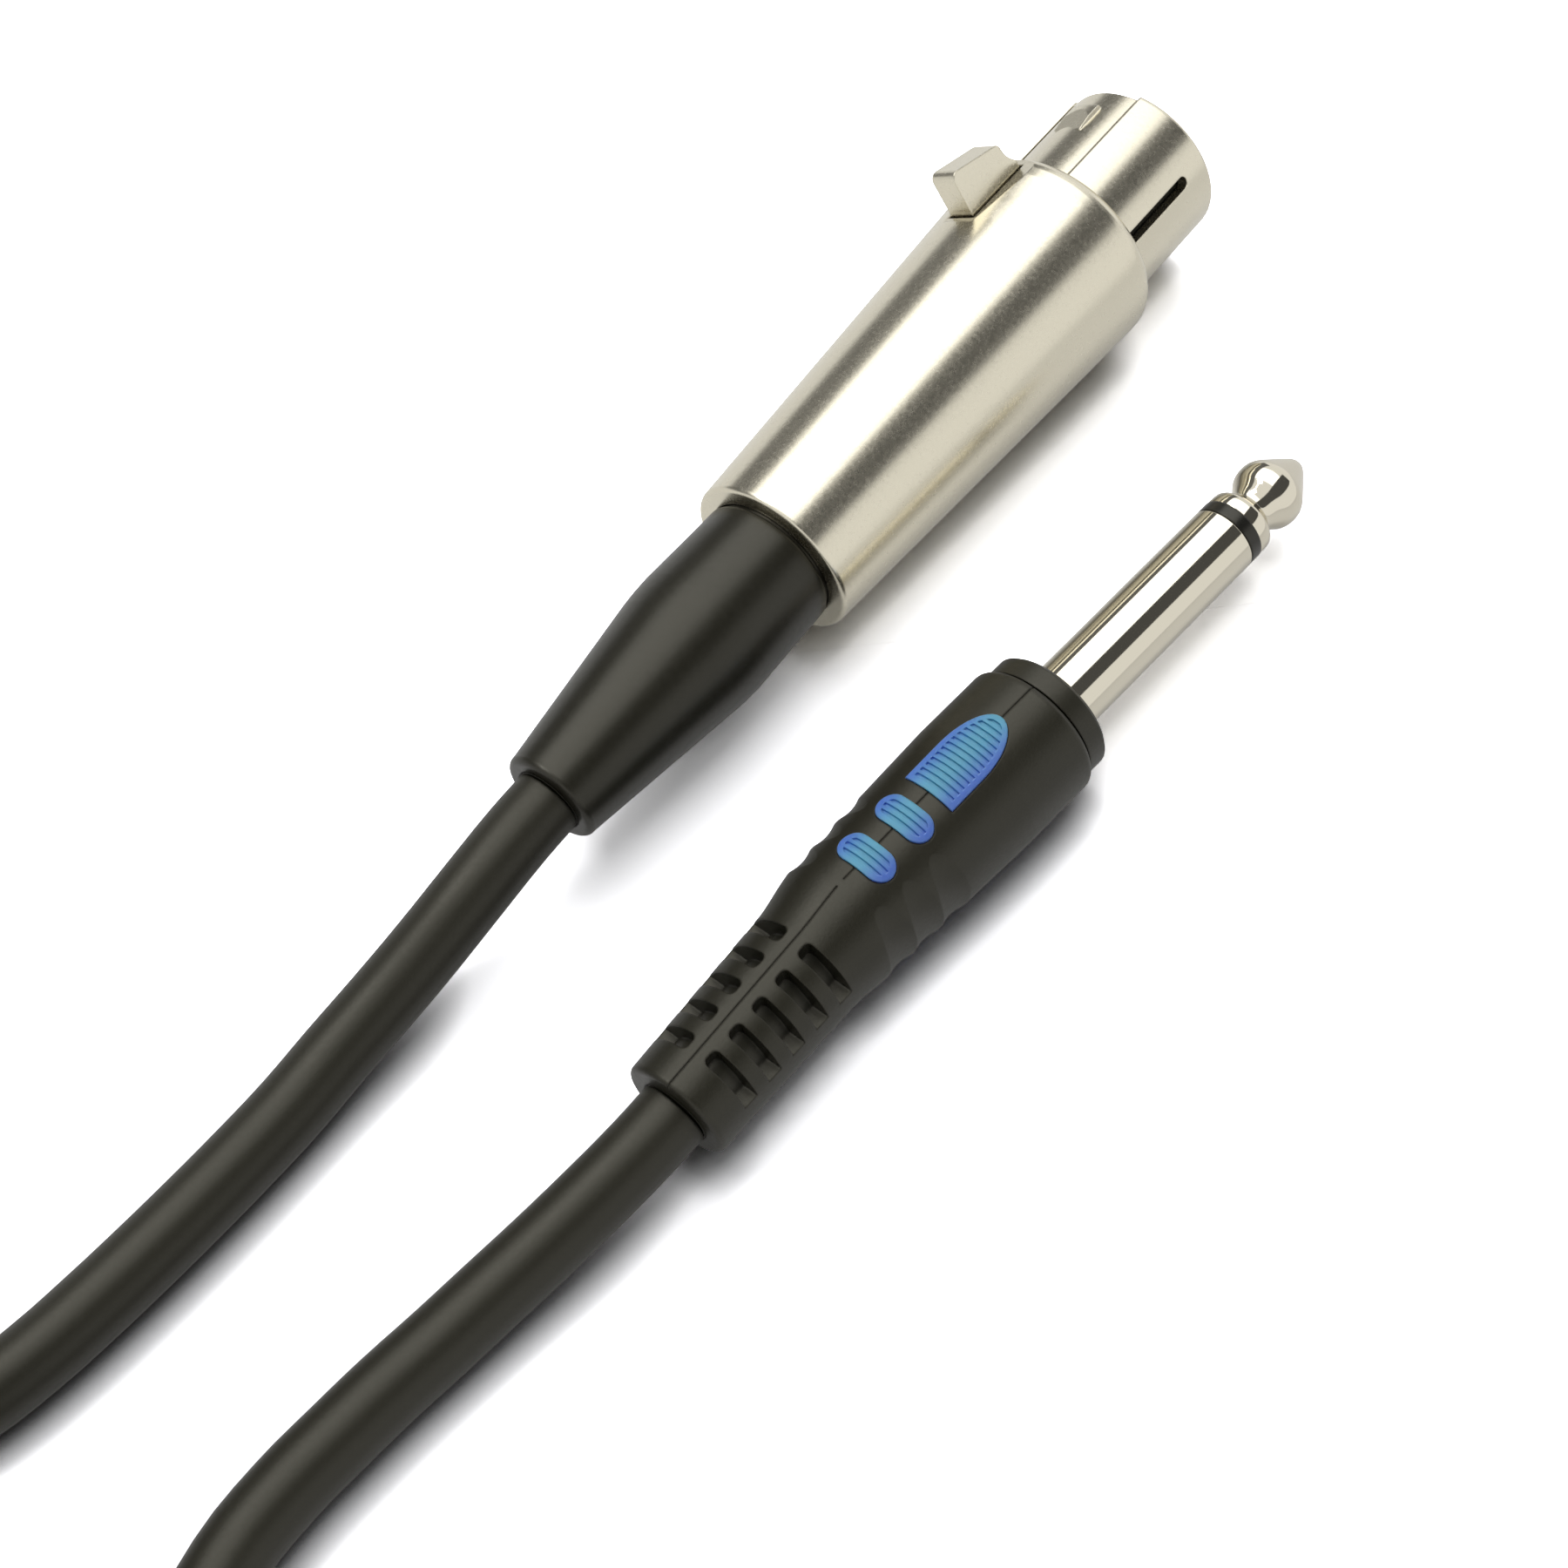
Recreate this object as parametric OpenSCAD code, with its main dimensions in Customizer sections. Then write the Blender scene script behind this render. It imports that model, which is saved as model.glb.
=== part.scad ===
// Microphone cable: a female three-pole XLR connector at one end and a moulded
// 6.35 mm mono jack plug at the other. The rest of the cable is folded into a tied hank.
// Millimetres, +Z up. The connector points along +Y and the part stands on Z = 0.

/* [Connector shell] */
// Diameter of the nose that enters the mating shell
nose_d = 15.8; // [15.4:0.1:16]
// Length of the nose ahead of the shoulder
nose_len = 12.2; // [11:0.1:14]
// Wall of the nose
nose_wall = 1.15; // [0.9:0.05:1.3]
// Diameter of the barrel at its shoulder
barrel_front_d = 19.5; // [19:0.1:21]
// Diameter of the barrel at its rear rim
barrel_rear_d = 15.6; // [15.2:0.1:17]
// Length of the barrel
barrel_len = 42.8; // [40:0.2:50]
// Wall of the barrel
barrel_wall = 1.25; // [1:0.05:1.4]
// Thickness of the shoulder behind the nose
shoulder_t = 2; // [1.6:0.1:2.4]
// Opening of the rear lip that holds the boot
lip_bore_d = 12.2; // [11.8:0.1:12.4]
// Thickness of the rear lip
lip_t = 2; // [1.6:0.1:2.6]
// Width of the key slot in the nose
key_w = 1.2; // [0.8:0.1:1.6]
// Length of the key slot
key_len = 9.1; // [5:0.1:10]

/* [Insert and contacts] */
// Circle that the three contacts stand on
contact_pcd = 8.08; // [7.9:0.02:8.2]
// Bore of a socket contact
socket_bore_d = 2.4; // [2.3:0.05:2.5]
// Outer diameter of a socket contact
socket_d = 3.3; // [3.1:0.05:3.4]
// Depth of the socket bore
socket_depth = 9.5; // [8:0.5:11]
// Setback of the insert's face from the nose end
insert_setback = 0.8; // [0.4:0.1:1.4]
// Length of the insert's flange
flange_len = 6.2; // [5.6:0.1:7]
// Diameter of the insert screw
screw_d = 1.6; // [1.4:0.1:1.8]

/* [Latch] */
// Turn of the latch from straight up, towards -X
latch_tilt = 38; // [20:1:50]
// Width of the tongue in the nose
tongue_w = 7.7; // [5:0.1:7.8]
// Thickness of the tongue
tongue_t = 0.85; // [0.7:0.05:0.95]
// Width of the push button
button_w = 2.8; // [2.4:0.1:4.6]
// Length of the push button
button_len = 6.9; // [6:0.1:7.2]
// Height of the button's rear above the barrel
button_rear_h = 3.7; // [3:0.1:5]
// Height of the button's front above the barrel
button_front_h = 2.7; // [1.5:0.1:2.9]
// How far the hook stands above the nose
hook_h = 0.15; // [0.1:0.05:0.22]
// Distance of the pivot behind the shoulder
pivot_back = 13.5; // [13:0.1:14]
// Diameter of the trunnions
trunnion_d = 1.4; // [1.2:0.1:1.5]
// Diameter of the spring's wire
spring_wire_d = 0.3; // [0.2:0.05:0.35]
// Active turns of the spring
spring_turns = 6; // [4:1:7]

/* [Boot and cable] */
// Outer diameter of the cable
cable_d = 6; // [5.6:0.1:6.2]
// Length of the boot behind the barrel
boot_len = 28.9; // [24:0.1:32]
// Diameter of the boot where it is widest
boot_d = 13; // [12.6:0.1:13.4]
// Diameter of the boot's end
boot_end_d = 8.8; // [7.8:0.1:9.4]
// Length of the boot before its taper starts
boot_straight = 9; // [4:0.1:11]

/* [Jack plug] */
// Diameter of the plug's sleeve
sleeve_d = 6.35; // [6.3:0.01:6.35]
// Length of the sleeve ahead of the collar
sleeve_len = 22.8; // [22:0.1:24]
// Width of the insulating ring
ring_w = 1.2; // [0.8:0.1:1.3]
// Length of the tip ahead of the insulating ring
tip_len = 7.4; // [6.8:0.1:8]
// Bore of the sleeve
sleeve_bore_d = 3.9; // [3.6:0.1:4.1]
// Diameter of the rod behind the tip
rod_d = 2.3; // [2.1:0.1:2.5]
// Diameter of the front collar
collar_d = 11.6; // [11:0.1:12]
// Thickness of the front collar
collar_t = 2.2; // [1.5:0.1:2.6]

/* [Jack body] */
// Diameter of the body at its front
body_front_d = 12.7; // [12.3:0.1:13.2]
// Diameter of the body at its rear
body_rear_d = 11.5; // [11.2:0.1:12]
// Length of the body behind the collar
body_len = 23.6; // [23.4:0.1:26]
// Length of the shoulder between body and strain relief
neck_len = 5.2; // [4:0.1:6]
// Diameter of the strain relief at its start
relief_front_d = 10.3; // [9.8:0.1:10.6]
// Diameter of the strain relief at its end
relief_rear_d = 9.5; // [9:0.1:9.8]
// Spacing of the strain relief's windows
window_pitch = 2.8; // [2.6:0.05:3.2]
// Width of a window
window_w = 1.45; // [1:0.05:1.6]
// Windows along each side of the strain relief
window_count = 5; // [3:1:7]
// Length of the strain relief's solid end
relief_end_len = 2.5; // [2:0.1:5]
// Width of the spines above and below, between the windows
spine_w = 1.8; // [1.6:0.1:3]
// Width of the spines at the sides
side_spine_w = 2.6; // [1.6:0.1:3]
// How far the strain relief is bent by the cable, in degrees
relief_bend = 3.5; // [0:0.5:5]
// Depth of the finger scoops on the flanks
scoop_depth = 0.28; // [0.1:0.02:0.3]

/* [Grip inlays] */
// Depth of an inlay in the body
inlay_depth = 0.8; // [0.5:0.1:1]
// How far an inlay stands above the body
inlay_proud = 0.15; // [0.05:0.05:0.3]
// Width of the ribbed inlay
bullet_w = 4.9; // [4:0.1:5.4]
// Length of the ribbed inlay
bullet_len = 8.9; // [8:0.1:9.6]
// Distance of the ribbed inlay behind the collar's face
bullet_back = 6.5; // [6.3:0.1:7]
// Width of a pill inlay
pill_w = 5.3; // [4:0.1:5.4]
// Length of a pill inlay
pill_len = 2.7; // [2:0.1:2.8]
// Distances of the two pills behind the collar's face
pill_backs = [18.3, 22.8]; // [17.8:0.1:23.4]
// Step between the ribs of an inlay
rib_pitch = 0.62; // [0.5:0.01:0.8]
// Depth of the furrows between the ribs
rib_depth = 0.2; // [0.1:0.05:0.3]
// Width of the plain border round the ribs
inlay_border = 0.5; // [0.3:0.05:0.7]

/* [Hank] */
// Step between neighbouring loops and between layers
coil_pitch = 6.6; // [6.5:0.1:7]
// Radius of the innermost loop's folds
coil_inner_r = 18; // [18:0.2:21]
// Whole loops in the hank
coil_loops = 10; // [8:1:12]
// Layers in the hank
coil_layers = 4; // [2:2:4]
// Length of a loop's runs between its folds
coil_straight = 39.4; // [36:0.2:50]
// How far the tie draws the runs in
coil_waist = 2; // [0:0.5:2]
// Width of the tie
tie_w = 12; // [8:1:16]
// Thickness of the tie
tie_t = 1; // [0.8:0.1:1.4]

/* [Hidden] */

// Facets of the turned shapes.
round_fn = 96;
small_fn = 48;
eps = 0.01;
big = 60;

// Clearances.
running_gap = 0.05;
press_gap = 0.1;
jacket_gap = 0.05;

// Placement of the two connectors.
xlr_x = -11.28;
xlr_y = 36.53;
jack_x = 14.94;
jack_y = -1.92;
jack_turn = -4.6;
jack_roll = 6;

// Shell.
nose_r = nose_d / 2;
nose_bore_r = nose_r - nose_wall;
front_r = barrel_front_d / 2;
rear_r = barrel_rear_d / 2;
lip_r = lip_bore_d / 2;
nose_round = 0.5;
nose_root = 0.3;
shoulder_round = min(1.5, front_r - nose_r - nose_root - 0.05);
rim_round = 0.4;
front_land = 2.5;
cavity_land = 7;
cavity_front_r = barrel_r(cavity_land + shoulder_t) - barrel_wall;
cavity_rear_r = barrel_r(barrel_len - lip_t) - barrel_wall;
xlr_h = front_r;

// Insert.
insert_r = nose_bore_r - press_gap;
flange_r = cavity_front_r - press_gap;
insert_front = nose_len - insert_setback;
flange_back = shoulder_t + flange_len;
face_t = 1.1;
socket_r = socket_d / 2;
socket_bore_r = socket_bore_d / 2;
socket_front = insert_front - face_t - press_gap;
contact_r = contact_pcd / 2;
contact_angles = [150, 30, 270];
cup_len = 4.6;
cup_r = 1.45;
cup_bore_r = 1;
screw_angle = -30;
screw_r = screw_d / 2;
screw_head_r = 1.5;
screw_head_t = 0.8;
screw_back = shoulder_t + flange_len / 2;
screw_depth = 3.4;

// Latch, built along +Y before the connector is rolled.
tongue_top = nose_r - 0.2;
tongue_front = nose_len - 0.3;
tongue_edge = 0.35;
channel_w = tongue_w + 0.5;
channel_floor = 4.1;
arm_w = 4.6;
arm_bottom = 5.9;
arm_t = 0.9;
pivot_y = 6;
trunnion_r = trunnion_d / 2;
trunnion_out = 3.1;
cheek_in = arm_w / 2 + 0.15;
cheek_out = 3.3;
cheek_reach = 2;
cheek_floor = 3.8;
cheek_top = 8;
cheek_r = flange_r - 0.6;
button_back = 1.5;
thumb_r = 2.5;
button_edge_r = 0.5;
button_top_r = 0.7;
hook_front = tongue_front - 2.3;
hook_len = 3.4;
hook_w = 3.2;
pad_w = 6.2;
pad_y = sqrt(front_r * front_r - pad_w * pad_w / 4);
spring_r = 0.95;
spring_pocket_r = 1.3;
spring_foot = 1.7;
spring_back = button_back + button_len / 2;

// Boot and clamp.
cable_r = cable_d / 2;
boot_neck_r = lip_r - press_gap;
boot_flange_r = cavity_rear_r - press_gap;
boot_flange_len = 4;
boot_flange_front = barrel_len - lip_t - boot_flange_len;
boot_step = 0.2;
boot_bend_r = 30;
boot_end = barrel_len + boot_len;
chuck_front = pivot_back + cheek_reach;
chuck_wall = 1;
chuck_sleeve_end = 26;
chuck_jaw_r = 5.4;
chuck_jaw_front_r = 4.6;
chuck_slot_w = 1;
jacket_front = 28;
wire_r = 0.75;

// Jack plug.
sleeve_r = sleeve_d / 2;
shank_r = sleeve_r - 0.3;
root_gap = 0.15;
sleeve_bore_r = sleeve_bore_d / 2;
rod_r = rod_d / 2;
collar_r = collar_d / 2;
ring_end = sleeve_len + ring_w;
tip_end = ring_end + tip_len;
tip_base = 1;
tip_edge = 0.15;
sleeve_back = 9;
sleeve_flange_r = 4.4;
sleeve_flange_t = 1.4;
insulator_back = 10.4;
insulator_flange_r = 3.6;
rod_back = 11.5;
lug_t = 0.5;
lug_w = 2.4;
tip_lug_y = 1.5;

// Jack body.
body_front_r = body_front_d / 2;
body_rear_r = body_rear_d / 2;
relief_front_r = relief_front_d / 2;
relief_rear_r = relief_rear_d / 2;
body_round = 0.7;
body_straight = 10;
body_start = collar_t + root_gap;
body_end = collar_t + body_len;
neck_end = body_end + neck_len;
relief_end = neck_end + window_count * window_pitch - window_w / 2 + relief_end_len;
core_r = 4.6;
core_end = 21;
jack_h = body_front_r + inlay_proud;
bend_way = 203;
bend_bead = 0.02;
scoop_backs = [19.3, 22.4, 25.4];
scoop_len = 3.1;
scoop_r = (scoop_len * scoop_len / 4 + scoop_depth * scoop_depth) / (2 * scoop_depth);
scoop_span = 52;
scoop_shift = scoop_depth / (1 - cos(scoop_span));
window_round = 0.5;
parting_w = 0.12;
parting_depth = 0.1;
jack_jacket_front = 17;

// Hank and cable routes: the centre line of the cable, in the part's own frame.
coil_x = 0;
coil_y = -163.7;
coil_lift = tie_t + 0.2;
tie_gap = 0.3;
tie_round = cable_d / 2 + 0.4;
coil_sides = 6;
coil_rings = 24;
run_rings = 4;
fold_rings = 8;
run_sides = 8;
coil_turns = coil_loops + (run_rings + fold_rings + run_rings) / coil_rings;
coil_outer_r = coil_inner_r + coil_pitch * coil_turns / coil_layers;
XLR_RUN = [[-11.3, -38.8, 9.5], [-11.3, -44.8, 8.4], [-11.6, -50, 6.6], [-12, -55.3, 4.9],
    [-12.3, -60.6, 3.7], [-12.3, -65.8, 3.1], [-12.4, -71.1, 3], [-12.6, -76.3, 3], [-12.9, -81.5, 3],
    [-13.3, -86.6, 3], [-13.9, -92, 3], [-15.1, -98, 3], [-17.8, -104.8, 3], [-22, -111.5, 3],
    [-27.4, -118.8, 3], [-32.2, -126.6, 3.4]];
JACK_RUN = [[12.2, -52.3, 5.8], [11.5, -57.6, 4.8], [10.7, -62.8, 3.9], [9.9, -67.8, 3.3],
    [9.2, -72.8, 3], [8.5, -77.8, 3], [8, -82.8, 3], [7.6, -88, 3], [7.9, -94.3, 3.2], [10.1, -101, 4.5],
    [14.3, -106.9, 7.1], [20.2, -111.4, 10.6], [26.8, -115.6, 14.6], [32.1, -121.2, 18.5],
    [34.8, -127.5, 21.5], [35.4, -133.3, 23.1]];
XLR_START = [xlr_x, xlr_y - boot_end, xlr_h];
// Direction of the bent strain relief in the plug's own frame.
TAIL = [sin(relief_bend) * cos(bend_way), sin(relief_bend) * sin(bend_way), -cos(relief_bend)];
bend_reach = relief_end - body_end;
JACK_START = jack_turned([0, 0, -body_end] + bend_reach * TAIL) + [jack_x, jack_y, jack_h];
JACK_WAY = jack_turned(TAIL);

// Turns a direction of the plug's own frame into the part's frame, as place_jack() does.
function jack_turned(p) = let (a = 180 - jack_roll,
    x = p[0] * cos(a) - p[1] * sin(a), y = p[0] * sin(a) + p[1] * cos(a))
    [x * cos(jack_turn) - p[2] * sin(jack_turn), x * sin(jack_turn) + p[2] * cos(jack_turn), -y];

// Radius of the barrel at a distance behind the shoulder.
function barrel_r(back) = back < front_land ? front_r
    : front_r - (front_r - rear_r) * (back - front_land) / (barrel_len - front_land);

// Arc of points round a centre, from one angle to another.
function arc(c, r, a0, a1, n = 6) = [for (i = [0 : n]) let (a = a0 + (a1 - a0) * i / n)
    [c[0] + r * cos(a), c[1] + r * sin(a)]];

// Radius of the jack body at a distance behind the collar's face.
function body_r(back) = back < body_straight ? body_front_r
    : body_front_r - (body_front_r - body_rear_r) * (back - body_straight) / (body_end - body_straight);

// Eased step from 0 to 1.
function ease(t) = t * t * (3 - 2 * t);

// A frame across a path at point i: the direction, the side and the upward normal.
function unit(v) = v / norm(v);
function along(p, i) = unit(p[min(i + 1, len(p) - 1)] - p[max(i - 1, 0)]);
function ring(p, i, r, n, t) = let (s = unit(cross(t, [0, 0, 1])), u = cross(s, t))
    [for (k = [0 : n - 1]) let (a = 360 * (k + 0.5) / n - 90) p[i] + r * (cos(a) * s + sin(a) * u)];

// A closed skin over rings of n points each, which wind clockwise seen along the path.
module skin(points, n) {
    m = len(points) / n;
    sides = [for (i = [0 : m - 2]) for (k = [0 : n - 1])
        let (a = i * n + k, b = i * n + (k + 1) % n) each [[a, b + n, b], [a, a + n, b + n]]];
    start = [for (k = [1 : n - 2]) [0, k, k + 1]];
    stop = [for (k = [1 : n - 2]) [(m - 1) * n, (m - 1) * n + k + 1, (m - 1) * n + k]];
    polyhedron(points, concat(sides, start, stop), convexity = 10);
}

// A closed tube swept along a path, square to the first and last directions given.
module tube(path, r, n, first, last) {
    m = len(path);
    skin([for (i = [0 : m - 1])
        each ring(path, i, r, n, i == 0 ? first : i == m - 1 ? last : along(path, i))], n);
}

// The XLR connector's own frame: +Z is the nose, +Y is the latch.
module place_xlr() {
    translate([xlr_x, xlr_y, xlr_h]) rotate([-90, 0, 0]) rotate([0, 0, 180 - latch_tilt]) children();
}

// The jack plug's own frame: +Z is the tip, +Y is the upper parting line.
module place_jack() {
    translate([jack_x, jack_y, jack_h]) rotate([0, 0, jack_turn]) rotate([-90, 0, 0])
        rotate([0, 0, 180 - jack_roll]) children();
}

// Bends what lies behind the jack's body, where the cable pulls the strain relief aside.
module bent() {
    translate([0, 0, -body_end]) rotate([0, 0, bend_way]) rotate([0, -relief_bend, 0]) rotate([0, 0, -bend_way])
        translate([0, 0, body_end]) children();
}

// A block given by its low and high corners.
module block(low, high) {
    translate(low) cube(high - low);
}

module shell_turned() {
    rotate_extrude($fn = round_fn) polygon(concat(
        [[nose_bore_r, nose_len]],
        arc([nose_r - nose_round, nose_len - nose_round], nose_round, 90, 0),
        arc([nose_r + nose_root, nose_root], nose_root, 180, 270, 3),
        arc([front_r - shoulder_round, -shoulder_round], shoulder_round, 90, 0),
        [[front_r, -front_land]],
        arc([rear_r - rim_round, rim_round - barrel_len], rim_round, 0, -90),
        [[lip_r, -barrel_len], [lip_r, lip_t - barrel_len], [cavity_rear_r, lip_t - barrel_len],
            [cavity_front_r, -shoulder_t - cavity_land], [cavity_front_r, -shoulder_t],
            [nose_bore_r, -shoulder_t]]));
}

module xlr_shell() {
    window_w = button_w + 0.5;
    color("silver") place_xlr() difference() {
        shell_turned();
        // Latch channel through the nose and under the shoulder.
        block([-channel_w / 2, channel_floor, -shoulder_t - eps], [channel_w / 2, nose_r + 0.05, eps]);
        block([-channel_w / 2, channel_floor, 0], [channel_w / 2, big, nose_len + 1]);
        // Flat pad and window for the push button.
        block([-pad_w / 2, pad_y, -button_back - button_len - 0.8], [pad_w / 2, big, 1]);
        block([-window_w / 2, channel_floor, -button_back - button_len - 0.25], [window_w / 2, big, -1.2]);
        // Key slot, with a round front end.
        rotate([0, 0, 92]) {
            block([-key_w / 2, nose_bore_r - 1, eps], [key_w / 2, nose_r + 1, key_len - key_w / 2]);
            translate([0, 0, key_len - key_w / 2]) rotate([-90, 0, 0])
                cylinder(r = key_w / 2, h = nose_r + 1, $fn = small_fn);
        }
        // Hole and countersink of the insert screw.
        screw_axis() {
            cylinder(r = screw_r + press_gap, h = big, $fn = small_fn);
            translate([0, 0, barrel_r(screw_back) - screw_head_t])
                cylinder(r = screw_head_r + press_gap, h = big, $fn = small_fn);
        }
    }
}

// The insert screw's axis: +Z points outward.
module screw_axis() {
    translate([0, 0, -screw_back]) rotate([0, 0, screw_angle - 90]) rotate([-90, 0, 0]) children();
}

module insert_screw() {
    head_top = barrel_r(screw_back) - 0.15;
    head_bottom = barrel_r(screw_back) - screw_head_t;
    color("gray") place_xlr() screw_axis() difference() {
        union() {
            translate([0, 0, head_bottom]) cylinder(r = screw_head_r, h = head_top - head_bottom, $fn = small_fn);
            translate([0, 0, flange_r - screw_depth])
                cylinder(r = screw_r, h = head_bottom - flange_r + screw_depth + eps, $fn = small_fn);
        }
        block([-0.25, -2, head_top - 0.35], [0.25, 2, big]);
        block([-2, -0.25, head_top - 0.35], [2, 0.25, big]);
    }
}

module xlr_insert() {
    notch_w = channel_w;
    color("#1c1c1c") place_xlr() difference() {
        union() {
            translate([0, 0, -shoulder_t]) cylinder(r = insert_r, h = insert_front + shoulder_t, $fn = round_fn);
            translate([0, 0, -flange_back]) cylinder(r = flange_r, h = flange_len, $fn = round_fn);
            // Cheeks that carry the latch's trunnions.
            intersection() {
                translate([0, 0, -big]) cylinder(r = cheek_r, h = big, $fn = round_fn);
                for (s = [-1, 1])
                    block([s > 0 ? cheek_in : -cheek_out, cheek_floor, -pivot_back - cheek_reach],
                        [s > 0 ? cheek_out : -cheek_in, cheek_top, -flange_back + eps]);
            }
        }
        // Room for the latch to swing in.
        block([-notch_w / 2, channel_floor, -shoulder_t - eps], [notch_w / 2, 9, insert_front + 1]);
        block([-cheek_in, channel_floor, -flange_back - 1], [cheek_in, 9, -shoulder_t]);
        // Trunnion bores.
        translate([0, pivot_y, -pivot_back]) rotate([0, 90, 0])
            cylinder(r = trunnion_r + running_gap, h = 10, center = true, $fn = small_fn);
        // Contact bores, narrower in the face that holds the contacts in.
        for (a = contact_angles) rotate([0, 0, a]) translate([contact_r, 0, 0]) {
            translate([0, 0, -flange_back - 1])
                cylinder(r = socket_r + running_gap, h = flange_back + 1 + insert_front - face_t, $fn = small_fn);
            cylinder(r = socket_bore_r + 0.15, h = big, $fn = small_fn);
        }
        // Spring pocket and screw hole.
        translate([0, spring_foot - 0.05, -spring_back]) rotate([-90, 0, 0])
            cylinder(r = spring_pocket_r, h = 5, $fn = small_fn);
        screw_axis() translate([0, 0, flange_r - screw_depth - 0.2])
            cylinder(r = screw_r + running_gap, h = big, $fn = small_fn);
    }
}

// A slit socket contact with a solder cup, standing on its own axis.
module contact() {
    slit_w = 0.4;
    difference() {
        union() {
            translate([0, 0, -flange_back]) cylinder(r = socket_r, h = flange_back + socket_front, $fn = small_fn);
            translate([0, 0, -flange_back - cup_len]) cylinder(r = cup_r, h = cup_len + eps, $fn = small_fn);
        }
        translate([0, 0, socket_front - socket_depth]) cylinder(r = socket_bore_r, h = big, $fn = small_fn);
        block([0, -slit_w / 2, socket_front - 6], [3, slit_w / 2, big]);
        // Solder cup, open towards the axis of the connector.
        translate([0, 0, -flange_back - cup_len - 1]) cylinder(r = cup_bore_r, h = cup_len, $fn = small_fn);
        block([-3, -3, -flange_back - cup_len - 1], [-0.3, 3, -flange_back - 1.6]);
    }
}

module placed_contact(i) {
    color("gold") place_xlr() rotate([0, 0, contact_angles[i]]) translate([contact_r, 0, 0]) contact();
}

module contact_1() { placed_contact(0); }
module contact_2() { placed_contact(1); }
module contact_3() { placed_contact(2); }

module latch_lever() {
    arm_top = arm_bottom + arm_t;
    rear = -button_back - button_len;
    color("silver") place_xlr() {
        // Tongue, rolled to the nose's own radius and flush with it.
        intersection() {
            rotate_extrude($fn = round_fn) polygon([[tongue_top - tongue_t, rear], [tongue_top, rear],
                [tongue_top, tongue_front - tongue_edge], [tongue_top - tongue_edge, tongue_front],
                [tongue_top - tongue_t, tongue_front]]);
            block([-tongue_w / 2, 0, -shoulder_t + 0.3], [tongue_w / 2, 9, big]);
        }
        // Arm, push button and hook, cut from their side outlines.
        translate([-arm_w / 2, 0, 0]) side_outline(arm_w) polygon([[-pivot_back, arm_bottom], [0, arm_bottom],
            [0, tongue_top - 0.3], [-1.6, tongue_top - 0.3], [-1.6, arm_top], [-pivot_back, arm_top]]);
        translate([-button_w / 2, 0, 0]) side_outline(button_w) polygon(concat(
            [[rear, arm_bottom + 0.3], [-button_back, arm_bottom + 0.3], [-button_back, front_r + 0.2]],
            arc([-button_back + thumb_r * 0.64, front_r + button_front_h - button_edge_r], thumb_r, 233, 180),
            arc([-button_back - 1.4, front_r + button_front_h - button_edge_r], button_edge_r, 0, 75, 4),
            arc([rear + button_top_r, front_r + button_rear_h - button_top_r], button_top_r, 80, 180, 4)));
        // The hook's top follows the nose's own curve.
        intersection() {
            translate([-hook_w / 2, 0, 0]) side_outline(hook_w) polygon([[hook_front - hook_len, tongue_top - 0.4],
                [hook_front, tongue_top - 0.4], [hook_front - 0.3, nose_r + hook_h],
                [hook_front - 0.9, nose_r + hook_h], [hook_front - hook_len, tongue_top - 0.05]]);
            cylinder(r = nose_r + hook_h, h = nose_len, $fn = round_fn);
        }
        // Pivot barrel and trunnions.
        translate([0, pivot_y, -pivot_back]) rotate([0, 90, 0]) {
            cylinder(r = trunnion_r + 0.2, h = arm_w, center = true, $fn = small_fn);
            cylinder(r = trunnion_r, h = 2 * trunnion_out, center = true, $fn = small_fn);
        }
    }
}

// Extrudes an outline drawn in (Z, Y) along X, over a width.
module side_outline(width) {
    translate([width, 0, 0]) rotate([0, -90, 0]) linear_extrude(width) children();
}

module latch_spring() {
    rings = 10;
    top = arm_bottom - running_gap;
    rise = top - spring_foot - spring_wire_d;
    n = rings * spring_turns;
    path = [for (i = [0 : n]) let (a = 360 * i / rings)
        [spring_r * cos(a), spring_r * sin(a), spring_foot + spring_wire_d / 2 + rise * i / n]];
    color("silver") place_xlr() translate([0, 0, -spring_back]) rotate([-90, 0, 0])
        tube(path, spring_wire_d / 2, 6, [0, 1, 0], [0, 1, 0]);
}

module cable_chuck() {
    back = boot_flange_front;
    sleeve_r0 = cavity_at(chuck_front) - press_gap;
    sleeve_r1 = cavity_at(chuck_sleeve_end) - press_gap;
    color("ivory") place_xlr() difference() {
        rotate_extrude($fn = round_fn) polygon([[sleeve_r0 - chuck_wall, -chuck_front],
            [sleeve_r0, -chuck_front], [sleeve_r1, -chuck_sleeve_end], [chuck_jaw_r, -chuck_sleeve_end - 1.5],
            [chuck_jaw_front_r, -back + 2], [chuck_jaw_r, -back],
            [cable_r + jacket_gap, -back], [cable_r + jacket_gap, -jacket_front - 0.5],
            [cable_r + 0.6, -chuck_sleeve_end], [sleeve_r1 - chuck_wall, -chuck_sleeve_end + 1.5]]);
        // Slots that let the jaws close on the jacket.
        for (a = [0, 90]) rotate([0, 0, a])
            block([-big, -chuck_slot_w / 2, -back - 1], [big, chuck_slot_w / 2, -chuck_sleeve_end - 3]);
    }
}

// Radius of the shell's cavity at a distance behind the shoulder.
function cavity_at(back) = let (z0 = shoulder_t + cavity_land, z1 = barrel_len - lip_t)
    cavity_front_r + (cavity_rear_r - cavity_front_r) * max(0, back - z0) / (z1 - z0);

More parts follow.
